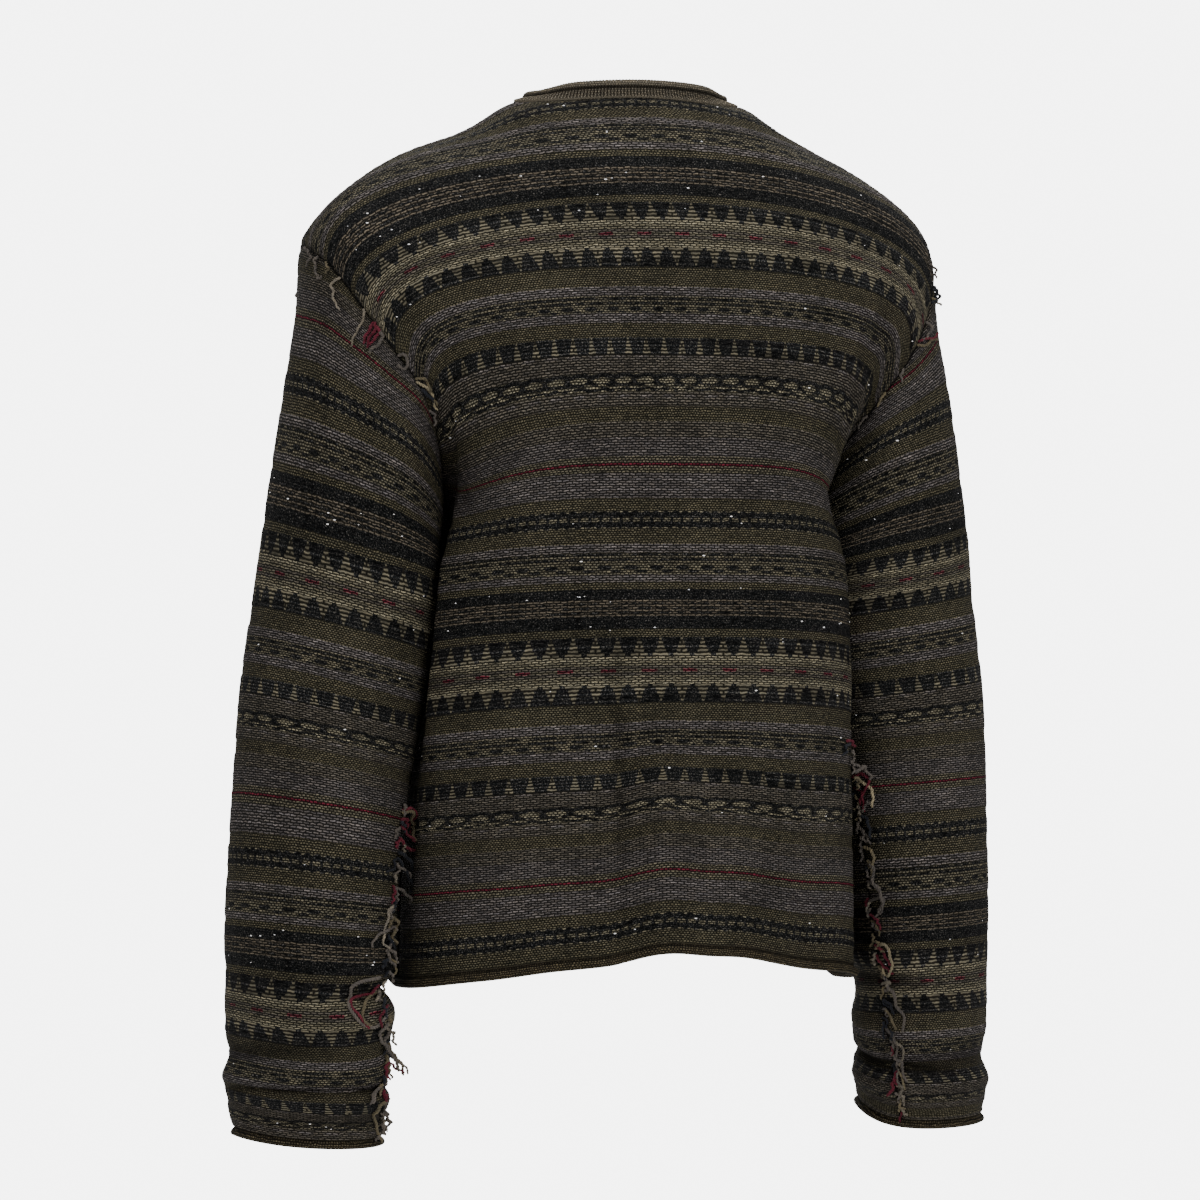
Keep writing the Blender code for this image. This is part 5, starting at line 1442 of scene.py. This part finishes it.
LEFT_SLEEVE_ENDS = [
    # distance down the sleeve in m, yarn, thickness in mm, (right, down) steps in mm
    (0.338, "burgundy", 0.50, [(0, 0), (4, 1), (7, 6), (5, 12), (6, 17)]),
    (0.340, "khaki", 0.60, [(0, 0), (5, 0), (5, 7), (8, 13), (10, 21)]),
    (0.345, "burgundy", 0.50, [(0, 0), (-1, 6), (3, 11), (9, 15), (10, 12)]),
    (0.358, "burgundy", 0.55, [(0, 0), (2, 6), (7, 10), (10, 8)]),
    (0.368, "ink", 0.65, [(0, 0), (5, 3), (9, 11), (11, 20)]),
    (0.372, "ink", 0.65, [(0, 0), (3, 8), (6, 15), (9, 24)]),
    (0.378, "grey", 0.45, [(0, 0), (6, 3), (8, 10)]),
    (0.392, "grey", 0.55, [(0, 0), (4, 3), (9, 8), (12, 13)]),
    (0.404, "pale", 0.50, [(0, 0), (-4, 5), (-5, 14), (-7, 24), (-5, 30)]),
    (0.412, "khaki", 0.60, [(0, 0), (2, 6), (-1, 13), (1, 20)]),
    (0.420, "grey", 0.50, [(0, 0), (-6, 2), (-11, 6), (-13, 12)]),
    (0.430, "grey", 0.55, [(0, 0), (-3, 6), (-2, 13), (2, 17)]),
    (0.442, "khaki", 0.45, [(0, 0), (3, 5), (1, 12)]),
    (0.456, "grey", 0.60, [(-4, 0), (-19, 3), (-25, 9), (-24, 20), (-16, 30), (-6, 32), (-1, 26)]),
    (0.462, "burgundy", 0.55, [(0, 0), (-10, 6), (-18, 11), (-14, 20), (-7, 27)]),
    (0.468, "khaki", 0.55, [(0, 0), (-7, 5), (-8, 14), (-4, 22)]),
    (0.478, "burgundy", 0.50, [(0, 0), (-6, 8), (-4, 16)]),
    (0.490, "grey", 0.60, [(0, 0), (-6, 5), (-7, 12), (-2, 18)]),
    (0.500, "grey", 0.70, [(0, 0), (-4, 7), (1, 16), (7, 27)]),
    (0.508, "khaki", 0.60, [(0, 0), (2, 8), (7, 16), (11, 25)]),
    (0.516, "pale", 0.50, [(0, 0), (4, 4), (10, 9), (14, 16)]),
    (0.524, "burgundy", 0.45, [(0, 0), (5, 5), (11, 8)]),
    (0.536, "grey", 0.55, [(0, 0), (-3, 6), (-7, 12), (-8, 17)]),
    (0.548, "grey", 0.50, [(0, 0), (-5, 3), (-8, 9)]),
    (0.560, "khaki", 0.60, [(0, 0), (-7, 4), (-8, 12), (-6, 22), (-5, 30)]),
    (0.572, "grey", 0.50, [(0, 0), (3, 7), (1, 15)]),
]
RIGHT_SLEEVE_ENDS = [
    (0.318, "grey", 0.60, [(0, 0), (5, -3), (8, 0), (13, 5)]),
    (0.323, "burgundy", 0.55, [(0, 0), (7, -2), (10, 4), (7, 11), (6, 20)]),
    (0.326, "ecru", 0.60, [(0, 0), (8, 1), (12, 6), (14, 12), (13, 18)]),
    (0.331, "burgundy", 0.50, [(0, 0), (5, 3), (6, 11), (8, 17)]),
    (0.346, "grey", 0.60, [(0, 0), (4, 2), (7, -5), (11, -2)]),
    (0.352, "ink", 0.65, [(0, 0), (5, 2), (7, 8), (8, 15)]),
    (0.362, "grey", 0.50, [(0, 0), (4, 4), (7, 10)]),
    (0.374, "khaki", 0.60, [(0, 0), (7, 3), (8, 11), (5, 21)]),
    (0.386, "grey", 0.60, [(0, 0), (6, 2), (6, 12), (10, 22), (12, 30), (10, 34)]),
    (0.398, "grey", 0.50, [(0, 0), (7, 4), (10, 12), (9, 22), (7, 26)]),
    (0.412, "grey", 0.55, [(0, 0), (8, -3), (10, 3), (8, 10)]),
    (0.426, "khaki", 0.45, [(0, 0), (4, 3), (6, 10)]),
    (0.444, "burgundy", 0.60, [(0, 0), (4, 2), (7, 8), (10, 14)]),
    (0.447, "ecru", 0.55, [(0, 0), (6, -3), (11, 4), (12, 13), (8, 20), (5, 12)]),
    (0.452, "burgundy", 0.50, [(0, 0), (4, 5), (8, 9), (12, 12)]),
    (0.466, "grey", 0.50, [(0, 0), (4, 5), (5, 13)]),
    (0.480, "grey", 0.60, [(0, 0), (7, 0), (10, 10), (14, 18), (12, 28)]),
    (0.494, "khaki", 0.50, [(0, 0), (5, 6), (7, 14)]),
    (0.510, "grey", 0.50, [(0, 0), (5, 5), (8, 13), (7, 22)]),
    (0.520, "pale", 0.50, [(0, 0), (8, 2), (9, 10), (7, 18)]),
    (0.536, "grey", 0.55, [(0, 0), (5, 4), (5, 12), (7, 18)]),
    (0.550, "khaki", 0.45, [(0, 0), (4, 5), (5, 12)]),
]
FRONT_ENDS = [
    # the same kind of ends on the hidden front half of each armhole
    (0.16, "grey", 0.45, [(0, 0), (2, 6), (1, 12)]),
    (0.30, "khaki", 0.45, [(0, 0), (4, 4), (5, 11)]),
    (0.38, "pale", 0.45, [(0, 0), (-2, 8), (-1, 17)]),
    (0.47, "burgundy", 0.55, [(0, 0), (3, 6), (1, 13)]),
    (0.55, "grey", 0.50, [(0, 0), (5, 2), (6, 8), (2, 10)]),
    (0.63, "ink", 0.55, [(0, 0), (3, 6), (6, 12)]),
]
VIEW_AZIMUTH = math.radians(18.0)      # the back is seen a little from the wearer's left
ACROSS_BACK = np.array([-math.cos(VIEW_AZIMUTH), math.sin(VIEW_AZIMUTH), 0.0])
OUT_OF_BACK = np.array([math.sin(VIEW_AZIMUTH), math.cos(VIEW_AZIMUTH), 0.0])
FACING = 0.12                          # how far a point's normal has to turn to the viewer
YARN_FULLNESS = 1.3                    # how much thicker an end lies than its table says
STRAND_LIFT = 0.0011                   # how far an end lies clear of the cloth, about
ROOT_LIFT, OPEN_LIFT, WAVE_LIFT = 0.3, 1.1, 0.8    # shares of that: at its root, beyond, and wave
WAVE_STEP = 0.9                        # how fast that wave goes on, in radians a point
STRAND_SWAY = 0.0006                   # how far its steps stray from its table
NEAR = 0.0030                          # how near in the view the cloth under an end lies
SAME_LAYER = 0.006                     # cloth further behind the front-most layer is not used
SLACK = 0.0016                         # how far an end falls towards the cloth at each point


def cloth_face(nets, normals, facing):
    """Return the outer face of some cloth that looks to the back (1) or the front (-1)."""
    points = np.concatenate([(net + normal * WALL / 2.0).reshape(-1, 3)
                             for net, normal in zip(nets, normals)])
    away = np.concatenate([normal.reshape(-1, 3) for normal in normals])
    seen = away @ (OUT_OF_BACK * facing) > FACING
    points, away = points[seen], away[seen]
    tree = KDTree(len(points))
    for index, (across, up) in enumerate(zip(points @ (ACROSS_BACK * facing), points[:, 2])):
        tree.insert((across, up, 0.0), index)
    tree.balance()
    return tree, points @ (OUT_OF_BACK * facing), away, facing


def lay_strand(root, steps, face, rng):
    """Return points of one loose end that starts in the seam and lies on the cloth."""
    tree, heights, away, facing = face
    steps = np.array(steps, dtype=float) / 1000.0
    steps[1:] += rng.normal(0.0, STRAND_SWAY, steps[1:].shape)
    share = np.linspace(0.0, len(steps) - 1.0, 5 * len(steps))
    table = np.column_stack([np.arange(len(steps)), steps])
    across = float(root @ (ACROSS_BACK * facing)) + track(table, 1)(share)
    up = root[2] - track(table, 2)(share)
    wave = rng.uniform(0.0, 6.0)
    height = None
    normal = OUT_OF_BACK * facing
    result = []
    for index in range(len(share)):
        hits = tree.find_range((across[index], up[index], 0.0), NEAR)
        if hits:
            top = max(heights[hit[1]] for hit in hits)
            hit = min((hit for hit in hits if heights[hit[1]] > top - SAME_LAYER),
                      key=lambda hit: hit[2])
            found = heights[hit[1]]
            if height is None or found > height - SLACK:
                height, normal = found, np.array(away[hit[1]])
            else:
                height -= SLACK
        elif height is None:
            height = float(root @ (OUT_OF_BACK * facing))
        rise = min(1.0, index / 4.0)
        waving = OPEN_LIFT + WAVE_LIFT * math.sin(wave + WAVE_STEP * index)
        lift = STRAND_LIFT * (ROOT_LIFT + rise * waving)
        place = (ACROSS_BACK * facing * across[index] + OUT_OF_BACK * facing * height
                 + np.array([0.0, 0.0, up[index]]))
        result.append(place + normal * lift)
    return result


# %% The yarn tree: sweep each course into two plies that turn round each other
PLIES_APART = 0.85                     # distance of a ply from the yarn's middle, in thicknesses
yarn_tree, start, end = new_tree("twisted_yarn", [
    ("Step", FLOAT, 0.0008), ("Twist Pitch", FLOAT, 0.0050), ("Sides", "NodeSocketInt", 6)])
curve = wire(yarn_tree, "GeometryNodeMeshToCurve", {"Mesh": start.outputs["Geometry"]})
even = wire(yarn_tree, "GeometryNodeResampleCurve", {"Curve": curve.outputs[0],
                                                    "Length": start.outputs["Step"]},
            mode="LENGTH")
tangent = yarn_tree.nodes.new("GeometryNodeInputTangent").outputs[0]
curve_normal = yarn_tree.nodes.new("GeometryNodeInputNormal").outputs[0]
binormal = wire(yarn_tree, "ShaderNodeVectorMath", {0: tangent, 1: curve_normal},
                operation="CROSS_PRODUCT").outputs[0]
length = yarn_tree.nodes.new("GeometryNodeSplineParameter").outputs["Length"]
angle = calc(yarn_tree, "MULTIPLY", calc(yarn_tree, "DIVIDE", length,
                                         start.outputs["Twist Pitch"]), 2.0 * math.pi)
thickness = named(yarn_tree, "thickness")
profile = wire(yarn_tree, "GeometryNodeCurvePrimitiveCircle",
               {"Resolution": start.outputs["Sides"], "Radius": 1.0})
plies = yarn_tree.nodes.new("GeometryNodeJoinGeometry")
for phase in (0.0, math.pi):
    turned = calc(yarn_tree, "ADD", angle, phase)
    sideways = scaled(yarn_tree, curve_normal, calc(yarn_tree, "COSINE", turned))
    upward = scaled(yarn_tree, binormal, calc(yarn_tree, "SINE", turned))
    both = wire(yarn_tree, "ShaderNodeVectorMath", {0: sideways, 1: upward}).outputs[0]
    away = scaled(yarn_tree, both, calc(yarn_tree, "MULTIPLY", thickness, PLIES_APART))
    ply = wire(yarn_tree, "GeometryNodeSetPosition", {"Geometry": even.outputs[0], "Offset": away})
    swept = wire(yarn_tree, "GeometryNodeCurveToMesh",
                 {"Curve": ply.outputs[0], "Profile Curve": profile.outputs[0],
                  "Scale": thickness, "Fill Caps": True})
    yarn_tree.links.new(swept.outputs[0], plies.inputs[0])
close_tree(yarn_tree, plies.outputs[0], end_wool, end)


# %% Lay the loose ends on their seams
SHORT_YARNS = ("grey", "ink", "khaki", "grey", "ink", "pale", "burgundy")
SHORT_DROPS = (3.0, 8.5)               # least and greatest length down, in mm
SHORT_SIZES = (0.38, 0.60)             # least and greatest thickness, in mm
TONES = (0.80, 1.25)                   # how much darker or lighter an end is than its yarn
TIP_TAPER = 0.25                       # how much thinner an end is at its tip


def short_ends(first, last, count, sway, seed):
    """Return a table of short ends along a seam; sway is which way most of them lean, in mm."""
    rng = np.random.default_rng(seed)
    table = []
    for place in np.linspace(first, last, count):
        yarn = SHORT_YARNS[rng.integers(len(SHORT_YARNS))]
        lean, drop = sway + rng.normal(0.0, 2.2), rng.uniform(*SHORT_DROPS)
        table.append((place + rng.normal(0.0, 0.002), yarn, rng.uniform(*SHORT_SIZES), [
            (rng.normal(0.0, 0.8), rng.normal(0.0, 0.8)), (0.9 * lean, 0.3 * drop),
            (0.8 * lean, 0.8 * drop), (1.3 * lean + rng.normal(0.0, 1.2), 1.3 * drop)]))
    return table


def make_ends(name, groups, seed):
    """Make the loose ends of one seam; a group is a root finder, a cloth face and a table."""
    rng = np.random.default_rng(seed)
    points, edges, colours, thick = [], [], [], []
    for root_at, face, table in groups:
        for share, yarn, size, steps in table:
            strand = lay_strand(root_at(share), steps, face, rng)
            first = len(points)
            points += strand
            edges += [(k, k + 1) for k in range(first, first + len(strand) - 1)]
            tone = rng.uniform(*TONES)
            colours += [(*[value * tone for value in END_YARNS[yarn]], 1.0)] * len(strand)
            taper = 1.0 - TIP_TAPER * np.linspace(0.0, 1.0, len(strand)) ** 2
            thick += (YARN_FULLNESS * size / 1000.0 * taper).tolist()
    mesh = bpy.data.meshes.new(name + "_courses")
    mesh.from_pydata([tuple(point) for point in points], edges, [])
    mesh.attributes.new("thickness", "FLOAT", "POINT").data.foreach_set("value", thick)
    layer = mesh.attributes.new("yarn_colour", "FLOAT_COLOR", "POINT")
    layer.data.foreach_set("color", np.array(colours, dtype=np.float32).ravel())
    courses = bpy.data.objects.new(name + "_courses", mesh)
    bpy.context.scene.collection.objects.link(courses)
    return grow(courses, name, yarn_tree, {"Step": 0.0008, "Twist Pitch": 0.0050, "Sides": 6})


def armhole_root(side, half):
    """Return a function that finds a root on one half of an armhole."""
    return lambda share: along(ARMHOLE_HALF[half], np.array(share)) * (side, 1.0, 1.0)


def seam_root(net):
    """Return a function that finds a root on a sleeve's long seam."""
    heights = SLEEVE_CAP + (SLEEVE_LENGTH - STRAIGHT_UP - SLEEVE_CAP) * np.linspace(0, 1, len(net))
    return lambda w: np.array([np.interp(w, heights, net[:, 0, k]) for k in range(3)])


left_cloth = ([back_net, front_net, left_net], [back_normals, front_normals, left_normals])
right_cloth = ([back_net, front_net, right_net], [back_normals, front_normals, right_normals])
left_back, left_front = cloth_face(*left_cloth, 1), cloth_face(*left_cloth, -1)
right_back, right_front = cloth_face(*right_cloth, 1), cloth_face(*right_cloth, -1)
armhole_ends_left = make_ends("armhole_ends_left", [
    (armhole_root(1, 1), left_back, LEFT_ARMHOLE_ENDS),
    (armhole_root(1, -1), left_front, FRONT_ENDS)], 11)
armhole_ends_right = make_ends("armhole_ends_right", [
    (armhole_root(-1, 1), right_back, RIGHT_ARMHOLE_ENDS),
    (armhole_root(-1, -1), right_front, FRONT_ENDS)], 12)
sleeve_ends_left = make_ends("sleeve_ends_left", [
    (seam_root(left_net), left_back,
     LEFT_SLEEVE_ENDS + short_ends(0.335, 0.600, 46, -1.0, 31))], 13)
sleeve_ends_right = make_ends("sleeve_ends_right", [
    (seam_root(right_net), right_back,
     RIGHT_SLEEVE_ENDS + short_ends(0.290, 0.600, 52, 1.0, 32))], 14)

# %% [markdown]
# ## Neps
# The black yarn is a tweed: tiny knots of undyed and silver fibre show in it here and there.
# They are scattered by a Geometry Nodes tree whose density follows how much black yarn each
# stripe holds: full on black stripes, less on stripes with black figures, and none elsewhere.

# %% Make the neps
NEP_DENSITY = 1600.0                   # to a square metre of black stripe
NEP_LENGTH = 0.0010
NEP_SHAPE = (0.42, 0.35)               # width and thickness of a nep, in shares of its length
nep_wool = fibre_wool("nep_fibre", (*srgb(205, 205, 208), 1.0), 0.9, 2.5, 0.5)
nep_tree, start, end = new_tree("scattered_neps", [
    ("Density", FLOAT, 900.0), ("Length", FLOAT, 0.0012), ("Seed", "NodeSocketInt", 1)])
scatter = wire(nep_tree, "GeometryNodeDistributePointsOnFaces",
               {"Mesh": start.outputs["Geometry"],
                "Density": calc(nep_tree, "MULTIPLY", start.outputs["Density"],
                                named(nep_tree, "dark")),
                "Seed": start.outputs["Seed"]})
ball = wire(nep_tree, "GeometryNodeMeshUVSphere", {"Segments": 8, "Rings": 5, "Radius": 1.0})
luck = wire(nep_tree, "FunctionNodeRandomValue", {2: 0.45, 3: 1.25,
                                                  "Seed": start.outputs["Seed"]},
            data_type="FLOAT").outputs[1]
reach = calc(nep_tree, "MULTIPLY", luck, start.outputs["Length"])
shape = wire(nep_tree, "ShaderNodeCombineXYZ",
             {0: reach, 1: calc(nep_tree, "MULTIPLY", reach, NEP_SHAPE[0]),
              2: calc(nep_tree, "MULTIPLY", reach, NEP_SHAPE[1])})
put = wire(nep_tree, "GeometryNodeInstanceOnPoints",
           {"Points": scatter.outputs["Points"], "Instance": ball.outputs["Mesh"],
            "Rotation": scatter.outputs["Rotation"], "Scale": shape.outputs[0]})
close_tree(nep_tree, put.outputs[0], nep_wool, end)


def make_neps(cloth, name, seed):
    """Scatter neps on one cloth piece."""
    copy = bpy.data.objects.new(name + "_field", cloth.data.copy())
    bpy.context.scene.collection.objects.link(copy)
    return grow(copy, name, nep_tree, {"Density": NEP_DENSITY, "Length": NEP_LENGTH,
                                       "Seed": seed})


neps = {item: make_neps(item, name, seed) for item, name, seed in (
    (back, "neps_back", 21), (front, "neps_front", 22),
    (sleeve_left, "neps_sleeve_left", 23), (sleeve_right, "neps_sleeve_right", 24))}

# %% [markdown]
# ## Studio
# The sweater hangs in an even white studio, seen from behind and a little from its left, at
# chest height.

# %% Stage, light and camera
CAMERA_DISTANCE = 3.6
CAMERA_SIDE = -0.0142                  # how far right of the middle the camera stands
CAMERA_HEIGHT = -0.351
CAMERA_LENS = 152.1                    # mm, on a sensor 36 mm wide
FLOOR_HEIGHT = -1.45
AMBIENT = 0.75                         # strength of the white room as light
BACKDROP = 6.0                         # and as the backdrop that the camera sees
LIGHT_AIM = Vector((0.0, 0.0, -0.35))
LIGHTS = [
    # name, towards the camera, to its right, up, size, power
    ("key", 2.6, -1.2, 1.3, 1.6, 60.0), ("fill", 2.4, 1.8, 0.3, 1.8, 60.0),
    ("top", 0.0, 0.0, 2.2, 2.0, 80.0), ("front_fill", -2.6, 0.0, 1.2, 2.0, 50.0),
]

to_camera, image_right = Vector(OUT_OF_BACK), Vector(ACROSS_BACK)
camera_data = bpy.data.cameras.new("camera")
camera_data.sensor_width = 36.0
camera_data.lens = CAMERA_LENS
camera_data.clip_end = 60.0
camera = bpy.data.objects.new("camera", camera_data)
camera.location = to_camera * CAMERA_DISTANCE + image_right * CAMERA_SIDE
camera.location.z = CAMERA_HEIGHT
camera.rotation_euler = (-to_camera).to_track_quat("-Z", "Y").to_euler()
bpy.context.scene.collection.objects.link(camera)
bpy.context.scene.camera = camera


def area_light(name, place, size, power):
    """Hang a soft square light that faces the middle of the garment."""
    data = bpy.data.lights.new(name, "AREA")
    data.size = size
    data.energy = power
    light = bpy.data.objects.new(name, data)
    light.location = place
    light.rotation_euler = (LIGHT_AIM - light.location).to_track_quat("-Z", "Y").to_euler()
    bpy.context.scene.collection.objects.link(light)


for name, nearer, right, up, side_length, power in LIGHTS:
    area_light(name, to_camera * nearer + image_right * right + Vector((0.0, 0.0, up)),
               side_length, power)
world = bpy.data.worlds.new("studio")
world.use_nodes = True
studio = world.node_tree
studio.nodes["Background"].inputs["Color"].default_value = (1.0, 1.0, 1.0, 1.0)
seen = wire(studio, "ShaderNodeLightPath").outputs["Is Camera Ray"]
studio.links.new(mix_value(studio, seen, AMBIENT, BACKDROP),
                 studio.nodes["Background"].inputs["Strength"])
bpy.context.scene.world = world

floor_material = bpy.data.materials.new("pale_floor")
floor_material.use_nodes = True
floor_shader = floor_material.node_tree.nodes["Principled BSDF"]
floor_shader.inputs["Base Color"].default_value = (0.86, 0.86, 0.86, 1.0)
floor_shader.inputs["Roughness"].default_value = 0.7
bpy.ops.mesh.primitive_circle_add(vertices=96, radius=5.0, fill_type="NGON",
                                  location=(0.0, 0.0, FLOOR_HEIGHT))
floor = bpy.context.object
floor.name = "floor"
floor.data.materials.append(floor_material)
print("camera at", tuple(round(value, 3) for value in camera.location),
      "with", len(LIGHTS), "lights")

# %% Tell the frame what each piece is
ends = (armhole_ends_left, armhole_ends_right, sleeve_ends_left, sleeve_ends_right)
for item in (back, front, sleeve_left, sleeve_right, neckband, *ends, *neps.values()):
    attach(item, "root")
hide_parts("back")
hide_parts("front")
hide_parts("sleeve_left")
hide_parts("sleeve_right")
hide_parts("neckband")
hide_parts("armhole_fringe_left")
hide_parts("armhole_fringe_right")
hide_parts("sleeve_fringe_left")
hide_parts("sleeve_fringe_right")

print("pieces told to the frame:", 5 + len(ends) + len(neps))
